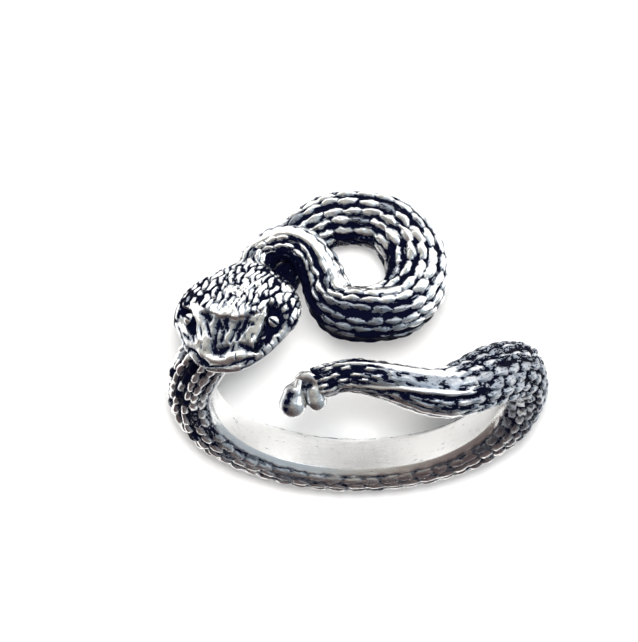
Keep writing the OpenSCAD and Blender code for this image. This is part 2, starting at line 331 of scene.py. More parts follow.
LOOP = (
    Station(336.7, 3.95, 1.35, 1.45, 1.4, 1.65, 1),
    Station(342.2, 4.9, 1.4, 1.55, 1.45, 1.7, 1),
    Station(350, 5.7, 1.4, 1.58, 1.5, 1.7, 1),
    Station(357.2, 5.85, 1.45, 1.62, 1.5, 1.75, 1),
    Station(363.8, 5.75, 1.5, 1.66, 1.55, 1.8, 1),
    Station(369.6, 5.45, 1.5, 1.72, 1.6, 1.8, 1),
    Station(374.5, 4.8, 1.5, 1.8, 1.65, 1.8, 1),
    Station(379, 3.75, 1.5, 1.88, 1.65, 1.8, 1),
    Station(380.5, 2.55, 1.5, 1.9, 1.65, 1.8, 1),
    Station(379.8, 1.4, 1.5, 1.85, 1.65, 1.8, 1),
    Station(376.8, 0.3, 1.5, 1.78, 1.65, 1.8, 1),
    Station(371.7, -0.55, 1.5, 1.66, 1.6, 1.8, 1),
    Station(363.4, -0.95, 1.5, 1.6, 1.6, 1.8, 1),
    Station(355.6, -0.75, 1.55, 1.55, 1.55, 1.8, 1),
)

NECK = (
    Station(351.2, 0.05, 1.8, 1.42, 1.45, 1.6, 1),
    Station(349.3, 1.15, 2.4, 1.3, 1.35, 1.35, 0.9),
    Station(347.8, 1.8, 3.05, 1.25, 1.2, 1.15, 0.8),
    Station(346.3, 2.3, 3.6, 1.15, 1.1, 1.05, 0.8),
    Station(343.8, 2.75, 3.95, 1.05, 1, 1, 0.7),
    Station(340, 2.98, 4.05, 1, 0.95, 0.95, 0.7),
    Station(335.8, 2.85, 4, 1.02, 0.95, 0.95, 0.7),
    Station(332.2, 2.3, 4.02, 1.06, 0.97, 0.95, 0.7),
    Station(330.9, 1.58, 4.05, 1.15, 1, 0.96, 0.6),
)


@dataclass(frozen=True)
class SnakePath:
    """The snake's centre line and the sizes of its section, by length from the rattle's tip."""

    hole_radius: float
    stations: tuple[Station, ...] = RATTLE + TAIL + BAND + LOOP + NECK
    samples: int = 24

    def rows(self) -> Array:
        """The table of stations, with points in place of lifts.

        Returns:
            Rows of x, y, z, turn, half width, rise, drop and relief.
        """
        table = np.array(self.stations)
        turn = np.radians(table[:, 0])
        radius = self.hole_radius + table[:, 2]
        points = np.stack([radius * np.sin(turn), table[:, 1], radius * np.cos(turn)], -1)
        return np.hstack([points, table[:, :1], table[:, 3:]])

    def ruler(self) -> tuple[Array, Array]:
        """Measures the path in short steps.

        Returns:
            Lengths along the path, and the places in the table that they belong to.
        """
        place = np.linspace(0, len(self.stations) - 1, self.samples * (len(self.stations) - 1) + 1)
        points = through(self.rows(), place)[:, :3]
        steps = np.linalg.norm(np.diff(points, axis=0), axis=1)
        return np.concatenate([[0], np.cumsum(steps)]), place

    def length(self) -> float:
        """The snake's length from the rattle's tip to the nape."""
        return float(self.ruler()[0][-1])

    def at(self, length: Array) -> Array:
        """Rows of the table at the given lengths."""
        lengths, place = self.ruler()
        return through(self.rows(), np.interp(length, lengths, place))

    def length_at_turn(self, turn: float) -> float:
        """Finds where the path first passes a turn round the hole.

        Args:
            turn: The turn in degrees.

        Returns:
            The length there.
        """
        lengths, place = self.ruler()
        passed = through(self.rows(), place)[:, 3] >= turn
        return float(lengths[np.argmax(passed)])


@dataclass(frozen=True)
class HeadPose:
    """Where the head looks, in degrees off the hole's direction."""

    yaw: float = 16
    pitch: float = 9
    roll: float = 21

    def axes(self) -> Array:
        """The head's own directions in the ring's frame.

        Returns:
            Forward, sideways and up, as rows.
        """
        yaw, pitch, roll = (math.radians(a) for a in (self.yaw, self.pitch, self.roll))
        flat = math.cos(pitch)
        forward = np.array([-flat * math.sin(yaw), -flat * math.cos(yaw), math.sin(pitch)])
        level_side = np.array([math.cos(yaw), -math.sin(yaw), 0])
        level_up = np.cross(forward, level_side)
        up = level_up * math.cos(roll) - level_side * math.sin(roll)
        return np.array([forward, np.cross(forward, up), up])


@dataclass(frozen=True)
class Skin:
    """A grid of skin points in the ring's frame, each with its tarnish and painted shade, and its place in
    the fine streaks.
    """

    points: Array
    tarnish: Array
    flow: Array


class Grain(NamedTuple):
    """The coat at each point: height, distance from the scale's middle and dash, and the scale's number."""

    relief: Array
    reach: Array
    dash: Array
    pick: Array


@dataclass(frozen=True)
class GrainCoat:
    """Rows of long pointed scales, every second row half a scale further on.

    Pairs give the value where the rows stand close, and where they stand apart. What scatters the scales is
    a share of a scale, and each wave of their outline has a size, then its waves along and across a scale.
    """

    rows_round: int = 16
    pitch: float = 1.15
    pitch_width: float = 1.6
    long: Pair = (1.07, 1.27)
    wide: Pair = (0.97, 0.78)
    squareness: Pair = (2.4, 1.6)
    least_squareness: float = 1.45
    height: float = 0.24
    keel: float = 0.12
    keel_width: float = 0.12
    uneven: float = 0.25
    moved: float = 0.08
    slanted: float = 0.14
    widened: float = 0.14
    waves: tuple[Triple, ...] = ((0.11, 3.7, 2.1), (0.07, 8.3, 3.7))
    end_wave: Triple = (0.1, 3.1, 3.9)

    def between(self, pair: Pair, loose: Array) -> Array:
        """A pair's value at some looseness."""
        return pair[0] + (pair[1] - pair[0]) * loose

    def relief(self, passed: Array, across: Array, loose: Array) -> Grain:
        """Height and outline of the scales.

        Args:
            passed: How many scales each row has passed, for each ring.
            across: Place round the body, counted in rows.
            loose: How far apart the rows stand: -0.5 for plates, 0 where they nearly touch, 1 for grains.

        Returns:
            The height as a share of a scale's height, the distance from the scale's middle, 1 at its rim, the
            same from the thin dash along its middle, and a number from 0 to 1 for each scale.
        """
        level = passed[:, :1]
        outline = zip((9, 19), self.waves)
        ragged = sum(size * ripple(level * on, across * aside, salt) for salt, (size, on, aside) in outline)
        across = across + ragged + 0.1 * np.sin(level * 0.83 + np.round(across) * 2.4)
        row = np.round(across)
        wrapped = np.mod(row, self.rows_round)
        along = np.take_along_axis(passed, wrapped.astype(int), axis=1)
        size, on, aside = self.end_wave
        slid = along + size * ripple(along * on, across * aside, 8) - 0.5 * np.mod(row, 2)
        cell = np.floor(slid)
        forward = slid - cell - 0.5 + self.moved * scatter(cell, wrapped, 1)
        sideways = across - row + self.moved * scatter(cell, wrapped, 2)
        sideways = sideways + forward * (0.12 + self.slanted * scatter(cell, wrapped, 4))
        long = self.between(self.long, loose)
        wide = self.between(self.wide, loose) * (1 + self.widened * scatter(cell, wrapped, 5))
        power = np.maximum(self.between(self.squareness, loose), self.least_squareness)
        reach = (np.abs(2 * forward / long) ** power + np.abs(2 * sideways / wide) ** power) ** (1 / power)
        dash = np.hypot(2.6 * forward / long, 5 * (sideways + 0.1) / wide)
        roundness = np.maximum(2.6 - 0.9 * loose + 4 * np.maximum(-loose, 0), 1.4)
        dome = np.clip(1 - reach ** roundness, 0, 1) ** 0.85
        keel = self.keel * bell(sideways, self.keel_width) * np.clip(1 - reach, 0, 1)
        shingle = 1 - 0.5 * forward + self.uneven * scatter(cell, wrapped, 3)
        return Grain((dome + keel) * shingle, reach, dash, 0.5 + 0.5 * scatter(cell, wrapped, 7))


class Dressing(NamedTuple):
    """How the coat changes from place to place, in shares.

    They are how far apart the rows of scales stand, the scales that are black with oxide and painted shade,
    the smooth ridge of the neck, kept clean partly by polish and partly as a painted highlight, the places
    where only a dash of each scale is bright and the rest is painted shade, and the grey haze over the
    scales, which paints shade.
    """

    loose: Array
    oxide_and_shade: Array
    ridge: Array
    painted_shade_dashes: Array
    haze: Array


@dataclass(frozen=True)
class Body:
    """The scaled body from the rattle to the nape.

    The rows of scales have wound round the body by the twist angles at the twist lengths. The limits in the
    methods are lengths from the rattle's tip in millimetres, turns round the hole in degrees, or column
    angles, which are 0 in the middle of the back.
    """

    ring: RingFrame
    path: SnakePath
    pose: HeadPose
    coat: GrainCoat
    columns: int = 192
    fine_steps: int = 2400
    nape_run: float = 2.3
    twist_lengths: tuple[float, ...] = (60, 66, 73, 82, 92)
    twist_angles: tuple[float, ...] = (0, 6, 14, 48, 60)
    shortening: Pair = (0.42, 1.1)
    long_scales_at: float = 17
    long_scales_reach: float = 6
    long_scales: float = 0.25
    streak_length: float = 4
    tail_slant: float = 0.42
    slant_end: float = 6
    ridge_height: float = 0.13
    groove_depth: float = 0.04
    rim_tarnish: float = 0.96
    oxide_and_shade_tarnish: float = 0.95
    wall_tarnish: float = 0.02
    dent_depth: float = 0.1

    def angles(self) -> Array:
        """Column angles round the section, the middle of the belly first."""
        return np.linspace(-180, 180, self.columns, endpoint=False)

    def frames(self, length: Array, centres: Array) -> tuple[Array, Array, Array]:
        """Directions of the section at each length.

        Args:
            length: Lengths along the path.
            centres: The path's points there.

        Returns:
            Along the snake, to its side, and out of its back.
        """
        reach = 0.25
        ahead = self.path.at(np.minimum(length + reach, self.path.length()))[:, :3]
        behind = self.path.at(np.maximum(length - reach, 0))[:, :3]
        along = unit(ahead - behind)
        share = np.clip(1 - (self.path.length() - length) / self.nape_run, 0, 1)[:, None]
        along = unit(along + (self.pose.axes()[0] - along) * share)
        outward = unit(centres * np.array([1, 0, 1]))
        up = unit(outward - (outward * along).sum(-1, keepdims=True) * along)
        return along, np.cross(along, up), up

    def twist(self, length: Array) -> Array:
        """How far the rows of scales have wound round the body, in degrees."""
        return np.interp(length, self.twist_lengths, self.twist_angles)

    def placed(self, rows: Array, side: Array, up: Array, to_side: Array, outward: Array) -> Array:
        """Points round each section's middle, so far to its side and so far out of its back."""
        return rows[:, None, :3] + side[:, None, :] * to_side[..., None] + up[:, None, :] * outward[..., None]

    def scales_passed(self, length: Array) -> Array:
        """How many scales each row has passed from the tail's tip on.

        Scales keep their length round a bend, and thin stretches have short ones.

        Args:
            length: Lengths along the path.

        Returns:
            One line of numbers for each length, with one number for each row of scales.
        """
        fine = np.linspace(0, self.path.length(), self.fine_steps)
        rows = self.path.at(fine)
        half_width, rise, drop = (rows[:, k, None] for k in (4, 5, 6))
        _, side, up = self.frames(fine, rows[:, :3])
        around = np.arange(self.coat.rows_round) * 360 / self.coat.rows_round
        angle = np.radians(around[None, :] + self.twist(fine)[:, None])
        to_side, height = np.sin(angle) * half_width, np.cos(angle)
        outward = height * np.where(height > 0, rise, drop)
        lines = self.placed(rows, side, up, to_side, outward)
        steps = np.linalg.norm(np.diff(lines, axis=0), axis=-1)
        pitch = self.coat.pitch * np.clip(half_width / self.coat.pitch_width, *self.shortening)
        longer = self.long_scales * bell(fine[:, None] - self.long_scales_at, self.long_scales_reach)
        pitch = pitch * (1 + longer)
        passed = np.vstack([np.zeros(self.coat.rows_round), np.cumsum(steps / pitch[1:], axis=0)])
        return np.stack([np.interp(length, fine, row) for row in passed.T], -1)

    def dressing(self, length: Array, turn: Array, angle: Array) -> Dressing:
        """Where the snake's coat changes.

        Args:
            length: Length along the snake, for each ring.
            turn: Turn round the hole, for each ring.
            angle: Column angles.

        Returns:
            The changes at each point.
        """
        before_loop = step(66, 62, length)
        on_loop = within(length, 64, 68, 83, 85)
        loop_right = within(length, 73, 75.5, 80, 82) * step(30, 0, angle)
        loop_low = within(length, 79.5, 81.5, 84, 86) * step(10, -20, angle)
        on_shoulder = step(32, 40, turn) * step(30, 24, length)
        on_top = on_shoulder * step(-4, -16, angle)
        on_left = step(225, 262, turn) * before_loop
        on_back = step(80, 110, turn) * before_loop
        on_neck = step(83.5, 85.5, length) * step(16, 2, angle) * (1 - 1.1 * step(88.8, 91, length))
        at_rattle = step(14, 4, turn) * step(9, 7, length)
        loose = (
            0.75 * on_loop - 0.5 * loop_right + 0.15 * loop_low + 0.4 * on_left
            - 0.2 * on_shoulder + 0.4 * on_top + 0.9 * on_neck + 0.7 * at_rattle
        )

        crest = np.interp(length, (79, 81, 83, 85, 88, 91.4), (10, 24, 46, 36, 23, 12))
        ridge = bell(angle - crest, 13 + 5 * step(84, 86, length)) * within(length, 79, 81, 90.8, 92.2)
        by_nape = step(86, 87.5, length)
        under_ridge = bell(angle - crest + 27, 8) * by_nape * step(92, 90, length)
        over_ridge = step(24, 36, angle - crest) * step(110, 90, angle) * by_nape

        # Painted shade: the neck's flank, the loop's underside, the belly under the neck, the first pass
        # under the neck's arch and the inside of the loop are painted black where they face away from the
        # light or lie under the arch.
        neck_flank = bell(length - 86.1, 2.3) * step(-18, -46, angle)
        under_loop = within(length, 75, 78, 84, 86) * step(-70, -100, angle)
        shade_under_neck = by_nape * step(-46, -66, angle)
        under_arch = bell(length - 65.3, 1.2) * step(26, 46, angle)
        loop_inside = on_loop * step(45, 80, angle)
        # Black scales: painted shade below the neck's ridge, in the places above and on the band's left;
        # oxide on the back and by the rattle.
        oxide_and_shade = (
            0.5 * under_ridge + 0.85 * neck_flank + 0.95 * under_loop + 1.1 * shade_under_neck + 1.2 * under_arch
            + 0.3 * loop_inside + 0.02 * on_back + 0.12 * on_left + 0.22 * at_rattle
        )
        # Grey haze, painted shade on the shoulder, the loop's low side and the neck past its ridge, a little
        # less on the shoulder's top.
        haze = 0.22 * on_shoulder - 0.1 * on_top + 0.26 * loop_low + 0.36 * over_ridge
        return Dressing(np.clip(loose, -0.6, 2), np.clip(oxide_and_shade, 0, 1.1), ridge, on_top, haze)

    def tail_marks(self, turn: Array, angle: Array) -> tuple[Array, Array, Array]:
        """The tail's smooth plate with its ridges, dents and crease.

        Args:
            turn: Turn round the hole, for each ring.
            angle: Column angles.

        Returns:
            The share of scales that is left, a height to add, and tarnish to add, less along the stripe as a
            partly painted highlight.
        """
        crease_at = np.interp(turn, (-12, -6, 3, 9.5, 15, 24, 33, 40), (96, 88, 80, 71, 55, 42, 37, 28))
        on_tail = within(turn, -10, -6, 36, 44)
        upper = np.interp(turn, (-8, 2, 12, 40), (-32, -30, -33, -36))
        plate = step(-12, 0, angle - upper) * step(-4, -12, angle - crease_at)
        plate = plate * step(-3, 11, turn - 0.12 * (60 - angle)) * step(39, 30, turn - 0.1 * angle)
        # The stripe along the top is raised and kept clean, partly polish and partly a painted highlight.
        stripe = bell(angle - upper - 4, 7) * within(turn, -8, -2, 30, 36)
        edge = bell(angle - upper + 14, 4) * within(turn, -8, 0, 30, 36)
        crease = bell(angle - crease_at - 2 * np.sin(turn * 0.9), 5.5) * on_tail
        lip = bell(angle - crease_at + 13, 6) * on_tail
        height = 0.12 * stripe + 0.1 * lip + 0.03 * plate - 0.24 * crease - 0.05 * edge
        dark = 1.2 * crease + 0.9 * edge - 1.2 * stripe - 0.5 * lip + 0.25 * plate * (1 - stripe)
        for dent in TAIL_DENTS:
            spot = np.hypot((turn - dent.turn) / dent.along, (angle - dent.angle) / dent.across)
            height = height - self.dent_depth * bell(spot, 1)
            dark = dark + 1.2 * bell(spot, 1) * on_tail
        return 1 - np.clip(0.96 * plate + stripe + 0.7 * lip, 0, 1), height, dark

    def skin(self, length: Array) -> Skin:
        """The skin over rings at the given lengths.

        Args:
            length: Lengths along the path, in order.

        Returns:
            The grid of points, their tarnish and their flow.
        """
        rows = self.path.at(length)
        turn, half_width, rise, drop, share = (rows[:, k, None] for k in range(3, 8))
        along, side, up = self.frames(length, rows[:, :3])
        angle = self.angles()[None, :]
        across, height = np.sin(np.radians(angle)), np.cos(np.radians(angle))
        ring_length = length[:, None]

        coat = self.dressing(ring_length, turn, angle)
        wound = (angle - self.twist(ring_length)) * self.coat.rows_round / 360
        grain = self.coat.relief(self.scales_passed(length), wound, coat.loose)
        kept, tail_height, tail_dark = self.tail_marks(turn, angle)
        from_back = np.abs(angle)
        share = share * step(134, 120, from_back) * (1 - 0.55 * step(55, 88, from_back))
        kept = kept * (1 - 0.85 * coat.ridge)
        raised = self.coat.height * share * kept * grain.relief + tail_height
        raised = raised - self.groove_depth * share + self.ridge_height * coat.ridge

        to_side = across * (half_width + raised)
        outward = height * (np.where(height > 0, rise, drop) + raised)
        points = self.placed(rows, side, up, to_side, outward)
        slant = self.tail_slant * across * step(self.slant_end, 0, ring_length)
        points, sunk = self.ring.outside_hole(points + along[:, None, :] * slant[..., None])

        scaled = np.clip(share * kept * 1.6, 0, 1)
        rim = self.rim_tarnish * step(0.8 - 0.08 * coat.loose, 1.07, grain.reach) * scaled
        black = self.oxide_and_shade_tarnish * step(-0.06, 0.06, coat.oxide_and_shade - grain.pick) * scaled
        flank = 0.22 * step(85, 120, from_back) * np.clip(share * 1.3, 0, 1)
        # Painted shade: the belly under the neck is black.
        shade_under_neck = 0.9 * step(86, 87.5, ring_length) * step(-58, -76, angle)
        tarnish = np.maximum.reduce(np.broadcast_arrays(rim, black, flank, shade_under_neck))
        tarnish = tarnish + (0.02 + 0.1 * coat.oxide_and_shade + coat.haze) * scaled
        # Painted shade: on the shoulder's top only a dash along each scale stays bright.
        unlit = 0.6 * step(0.7, 1.3, grain.dash) * coat.painted_shade_dashes
        # The neck's ridge is kept clean, partly by polish and partly as a painted highlight.
        tarnish = np.maximum(tarnish, unlit) + tail_dark - 0.6 * coat.ridge
        tarnish = np.where(sunk > 0.002, self.wall_tarnish, np.clip(tarnish, 0, 1))
        flow = np.stack([ring_length / self.streak_length + 0 * to_side, to_side, outward], -1)
        return Skin(points, tarnish, flow)


@dataclass(frozen=True)
class Blob:
    """A rounded part of the rattle: rods of lumps melted together, seen from one middle inside them."""

    middle: Triple
    rods: tuple[tuple[Lump, ...], ...]
    pit: tuple[Lump, ...]
    marks: tuple[Lump, ...]
    fold: tuple[Lump, ...]
    painted_highlights: tuple[Lump, ...]
    rows: int = 76
    columns: int = 110
    melt: float = 3.4
    pit_share: float = 1.6
    farthest: float = 2.1
    looks: int = 106

    def nearness(self, points: Array, rod: tuple[Lump, ...]) -> Array:
        """Distance to a rod of lumps.

        Args:
            points: Any array of points.
            rod: The rod's lumps in order, or a single lump.

        Returns:
            The distance as a share of the rod's radius.
        """
        table = np.array(rod)
        if len(rod) == 1:
            return np.linalg.norm(points - table[0, :3], axis=-1) / rod[0].radius
        return to_line(points, table[:, :3], table[:, 3])

    def pull(self, points: Array, rod: tuple[Lump, ...]) -> Array:
        """How strongly a rod holds a point: 1 on its surface, more inside."""
        return np.exp(self.melt * (1 - self.nearness(points, rod) ** 2))

    def skin(self) -> Skin:
        """The blob's skin: the last place on each ray from its middle that is still inside.

        Returns:
            The grid of points, their tarnish and their flow.
        """
        rays = ball(self.rows, self.columns, 0.012)
        middle = np.array(self.middle)
        times = np.linspace(0, self.farthest, self.looks)
        points = middle + times[:, None, None, None] * rays
        field = sum(self.pull(points, rod) for rod in self.rods)
        if self.pit:
            field = field - self.pit_share * self.pull(points, self.pit)
        last = self.looks - 1 - np.argmax(field[::-1] >= 1, axis=0)
        after = np.minimum(last + 1, self.looks - 1)
        here = np.take_along_axis(field, last[None], axis=0)[0]
        beyond = np.take_along_axis(field, after[None], axis=0)[0]
        share = np.clip((here - 1) / np.maximum(here - beyond, 1e-9), 0, 1)
        surface = middle + rays * ((last + share) * times[1])[..., None]
        # Painted highlight: less haze along the lumps where the highlights fall.
        dark = 0.11 - 0.1 * bell(self.nearness(surface, self.painted_highlights), 1.15)
        for mark in self.marks:
            dark = dark + 1.2 * bell(self.nearness(surface, (mark,)), 1)
        if self.fold:
            dark = dark + 0.9 * bell(self.nearness(surface, self.fold), 1)
        return Skin(surface, np.clip(dark, 0, 1), surface)


RATTLE_BLOBS = (
    Blob((-3.86, -6.3, 9.06), (BUTTON, BUTTON_RIDGE), (), BUTTON_MARKS, (), BUTTON_RIDGE),
    Blob((-2.71, -5.58, 9.25), (ARCH, LOBE, LOBE_ROOT), LOBE_PIT, LOBE_MARKS, LOBE_FOLD, ARCH[:4]),
)


# The head

class Section(NamedTuple):
    """A section of the head: shares of its length and half width, then three heights in millimetres."""

    forward: float
    width: float
    top: float
    widest: float
    jaw: float


HEAD_SECTIONS = (
    Section(0.05, 0.36, 1.06, 0, -0.98),
    Section(0.1, 0.48, 1.18, 0, -1),
    Section(0.16, 0.64, 1.3, 0, -1.05),
    Section(0.24, 0.82, 1.45, 0, -1.15),
    Section(0.34, 0.95, 1.56, 0, -1.24),
    Section(0.45, 1.01, 1.62, 0, -1.28),
    Section(0.54, 1, 1.62, -0.03, -1.3),
    Section(0.64, 0.93, 1.5, -0.1, -1.28),
    Section(0.73, 0.83, 1.14, -0.2, -1.24),
    Section(0.82, 0.72, 0.74, -0.3, -1.2),
    Section(0.9, 0.58, 0.38, -0.42, -1.14),
    Section(0.96, 0.46, 0.06, -0.5, -1.06),
    Section(1, 0.34, -0.2, -0.55, -0.92),
)


class Place(NamedTuple):
    """A place on the head: share of its length, and angle round it from the crown, left side positive."""

    forward: float
    angle: float


class Stroke(NamedTuple):
    """A dark groove: share of the head's length, angle and half width at each corner, and the depth."""

    corners: tuple[Triple, ...]
    depth: float


FACE_STROKES = (
    Stroke(((0.645, 20, 0.12), (0.668, 16, 0.21), (0.691, 13, 0.13)), 0.26),
    Stroke(((0.705, 17, 0.05), (0.76, 15, 0.1), (0.82, 12, 0.05)), 0.18),
    Stroke(((0.694, 4, 0.07), (0.74, 5, 0.11), (0.8, 6, 0.08), (0.86, 8, 0.1)), 0.2),
    Stroke(((0.735, 2.5, 0.1), (0.79, 0, 0.08), (0.85, 0.5, 0.08)), 0.18),
    Stroke(((0.708, -1, 0.12), (0.745, -1.5, 0.13), (0.775, -2, 0.05)), 0.18),
    Stroke(((0.716, -13, 0.05), (0.76, -11, 0.1), (0.81, -9, 0.08), (0.852, -7, 0.05)), 0.2),
    Stroke(((0.679, -21, 0.06), (0.73, -18.5, 0.11), (0.79, -16, 0.09), (0.836, -14, 0.05)), 0.2),
    Stroke(((0.715, -23.5, 0.03), (0.75, -22, 0.05), (0.79, -20, 0.03)), 0.1),
    Stroke(((0.886, 11, 0.13), (0.931, 10, 0.17), (0.92, 1, 0.2), (0.895, -4, 0.12)), 0.26),
    Stroke(((0.87, -12, 0.05), (0.916, -13, 0.09)), 0.12),
    Stroke(((0.868, -20, 0.08), (0.882, -28, 0.15), (0.893, -40, 0.16), (0.898, -54, 0.1)), 0.22),
    Stroke(((0.945, -23, 0.04), (0.975, -29, 0.035)), 0.08),
    Stroke(((0.962, 3, 0.045), (0.965, -4, 0.04)), 0.07),
    Stroke(((0.691, 34, 0.06), (0.76, 35.5, 0.1), (0.826, 36, 0.06)), 0.2),
    Stroke(((0.735, 26, 0.04), (0.78, 27, 0.08), (0.823, 28, 0.05)), 0.14),
    Stroke(((0.748, 64, 0.05), (0.79, 57, 0.07), (0.82, 53, 0.05)), 0.1),
    Stroke(((0.76, 47, 0.06), (0.8, 44, 0.07), (0.84, 45, 0.04)), 0.12),
    Stroke(((0.847, 80, 0.05), (0.87, 70, 0.08), (0.9, 61, 0.09), (0.925, 56, 0.07)), 0.12),
    Stroke(((0.85, 31, 0.03), (0.898, 34, 0.045)), 0.06),
    Stroke(((0.93, -77, 0.05), (0.96, -74, 0.07), (0.99, -72, 0.05)), 0.08),
)

SOCKETS = (
    Stroke((
        (0.55, -41, 0.18), (0.6, -51, 0.48), (0.65, -58, 0.66), (0.718, -60, 0.62), (0.805, -58, 0.4),
        (0.853, -57, 0.3), (0.885, -60, 0.18),
    ), 0.5),
    Stroke((
        (0.555, 53, 0.12), (0.6, 49, 0.34), (0.66, 44, 0.5), (0.715, 41, 0.42), (0.77, 41, 0.14),
    ), 0.42),
)

MOUTH_LINE = Stroke((
    (0.935, 57, 0.12), (0.975, 60, 0.22), (1.05, 50, 0.15), (1.1, 36, 0.09), (1.11, 3, 0.06),
    (1.045, -19, 0.06), (0.98, -44, 0.06), (0.955, -66, 0.06), (0.93, -90, 0.05),
), 0.16)

UPPER_LIP = (
    Place(0.925, 48), Place(0.95, 35), Place(0.975, 20), Place(0.985, 4), Place(0.96, -14), Place(0.94, -36),
)
CANTHUS = (Place(0.59, -25), Place(0.633, -29), Place(0.71, -29), Place(0.805, -32))
RIGHT_RIDGE = (Place(0.56, -34), Place(0.6, -37), Place(0.673, -40), Place(0.76, -44), Place(0.844, -44))
LEFT_RIDGE = (Place(0.56, 34), Place(0.62, 32), Place(0.7, 29), Place(0.76, 31), Place(0.83, 32))
MOUTH_CORNER = (Place(0.5, 105), Place(0.7, 103), Place(0.85, 101), Place(0.95, 98), Place(1.06, 96))

BEADS = (
    (Place(0.79, -59), 0.1), (Place(0.742, -79), 0.15), (Place(0.69, -84), 0.1),
    (Place(0.835, -68), 0.12), (Place(0.931, -59), 0.11), (Place(0.907, -68), 0.13),
    (Place(0.883, -86), 0.09), (Place(0.915, 5.5), 0.06), (Place(0.86, -45), 0.06),
    (Place(0.845, -26), 0.05), (Place(0.8, -55), 0.09), (Place(0.765, -50), 0.06),
)


@dataclass(frozen=True)
class Head:
    """The broad head with its eyes, brow, grooved face and mouth.

    The limits in the methods are shares of the head's length, or angles round it in degrees from the crown.
    """

    pose: HeadPose
    nape: Array
    columns: int
    length: float = 7.35
    width: float = 7.75
    rings: int = 150
    snout_rings: int = 26
    snout_cap: float = 0.26
    snout_height: float = -0.58
    snout_reach: float = 0.3
    snout_roundness: float = 0.75
    eyes: tuple[Place, Place] = (Place(0.656, -58), Place(0.66, 43))
    eye_radius: float = 0.36
    eye_depth: float = 0.16
    slit_normal: Triple = (0.6, 0.693, 0.4)
    slit_width: float = 0.17
    slit_depth: float = 0.12
    squareness: float = 0.8
    plate_long: float = 0.95
    plate_wide: float = 0.42
    plate_height: float = 0.12
    plate_moved: Pair = (0.32, 0.3)
    brow_at: float = 0.698
    brow_height: float = 0.13
    groove_width: float = 0.08
    lip_plate: float = 0.66
    streak_length: float = 2.5

    def smooth(self, forward: Array, angle: Array) -> Array:
        """The head without any relief, in its own frame: forward, sideways, up.

        Args:
            forward: Shares of the head's length; past 1 the snout closes.
            angle: Angles round the head.

        Returns:
            One point for each pair.
        """
        table = np.array(HEAD_SECTIONS)
        inside = np.minimum(forward, 1)
        place = np.interp(inside, table[:, 0], np.arange(len(table)))
        section = through(table, place)
        across, height = np.sin(np.radians(angle)), np.cos(np.radians(angle))
        sideways = section[..., 1] * self.width / 2 * np.sign(across) * np.abs(across) ** self.squareness
        tall = np.where(height > 0, section[..., 2] - section[..., 3], section[..., 3] - section[..., 4])
        up = section[..., 3] + tall * np.sign(height) * np.abs(height) ** self.squareness
        closing = np.clip((forward - 1) / self.snout_cap, 0, 1) * math.pi / 2
        shrink = np.cos(closing) ** self.snout_roundness
        front = inside * self.length + self.snout_reach * np.sin(closing)
        up = self.snout_height + (up - self.snout_height) * shrink
        return np.stack([front, sideways * shrink, up], -1)

    def spot(self, place: Place) -> Array:
        """The smooth head's point at a place."""
        return self.smooth(np.array(place.forward), np.array(place.angle))

    def stroke(self, base: Array, stroke: Stroke) -> Array:
        """Distance of the head's points to a stroke, as a share of its half width."""
        line = np.array([self.spot(Place(forward, angle)) for forward, angle, _ in stroke.corners])
        return to_line(base, line, np.array([width for _, _, width in stroke.corners]))

    def ridge(self, base: Array, places: tuple[Place, ...], width: float) -> Array:
        """A soft ridge through some places, 1 on its crest."""
        line = np.array([self.spot(place) for place in places])
        return bell(to_line(base, line, np.full(len(places), width)), 1)

    def plates(self, forward: Array, run: Array, gap_width: Array) -> tuple[Array, Array]:
        """Uneven scales of the crown and cheeks.

        Args:
            forward: Millimetres from the nape.
            run: Millimetres round the head from its middle line.
            gap_width: How wide the grooves are, 1 for thin ones.

        Returns:
            The dome of each scale, and the grooves between them together with painted shade on one side of
            some scales.
        """
        along, across = forward / self.plate_long, run / self.plate_wide
        first, second = np.full(along.shape, np.inf), np.full(along.shape, np.inf)
        aside, pick = np.zeros(along.shape), np.zeros(along.shape)
        for row_step in (-1, 0, 1):
            row = np.floor(across) + row_step
            shift = 0.5 * np.mod(row, 2)
            for cell_step in (-1, 0, 1):
                cell = np.floor(along - shift) + cell_step
                seed_along = cell + 0.5 + shift + self.plate_moved[0] * scatter(cell, row, 5)
                seed_across = row + 0.5 + self.plate_moved[1] * scatter(cell, row, 6)
                gap = np.hypot(along - seed_along, across - seed_across)
                nearer = gap < first
                aside = np.where(nearer, across - seed_across, aside)
                pick = np.where(nearer, 0.5 + 0.5 * scatter(cell, row, 7), pick)
                second = np.minimum(second, np.maximum(first, gap))
                first = np.minimum(first, gap)
        edge = second - first
        uneven = np.maximum(gap_width * (1 + 1.1 * ripple(along * 1.3, across * 1.3, 15)), 0.05)
        groove = step(0.2 * uneven, 0.05 * uneven, edge)
        shaded = step(0.12, 0.34, np.abs(aside - 0.1 + 0.2 * pick)) * step(0.35, 0.65, pick)
        return step(0, 0.45, edge), np.maximum(groove, 0.8 * shaded * step(0.6, 0.2, edge))

    def skin(self) -> Skin:
        """The whole head's skin, from behind the cheeks to the tip of the snout.

        Returns:
            The grid of points, their tarnish and their flow.
        """
        body = np.linspace(HEAD_SECTIONS[0].forward, 1, self.rings)
        cap = 1 + self.snout_cap * np.sin(np.linspace(0.05, 0.985, self.snout_rings) * math.pi / 2)
        forward = np.concatenate([body, cap])[:, None]
        angle = np.linspace(-180, 180, self.columns, endpoint=False)[None, :]
        forward, angle = np.broadcast_arrays(forward, angle)
        base = self.smooth(forward, angle)

        ahead = np.gradient(base, axis=0)
        around = np.roll(base, -1, axis=1) - np.roll(base, 1, axis=1)
        normal = unit(np.cross(ahead, around))
        steps = np.linalg.norm(around, axis=-1) / 2
        crown = self.columns // 2
        run = np.cumsum(steps, axis=1)
        run = run - run[:, crown:crown + 1]

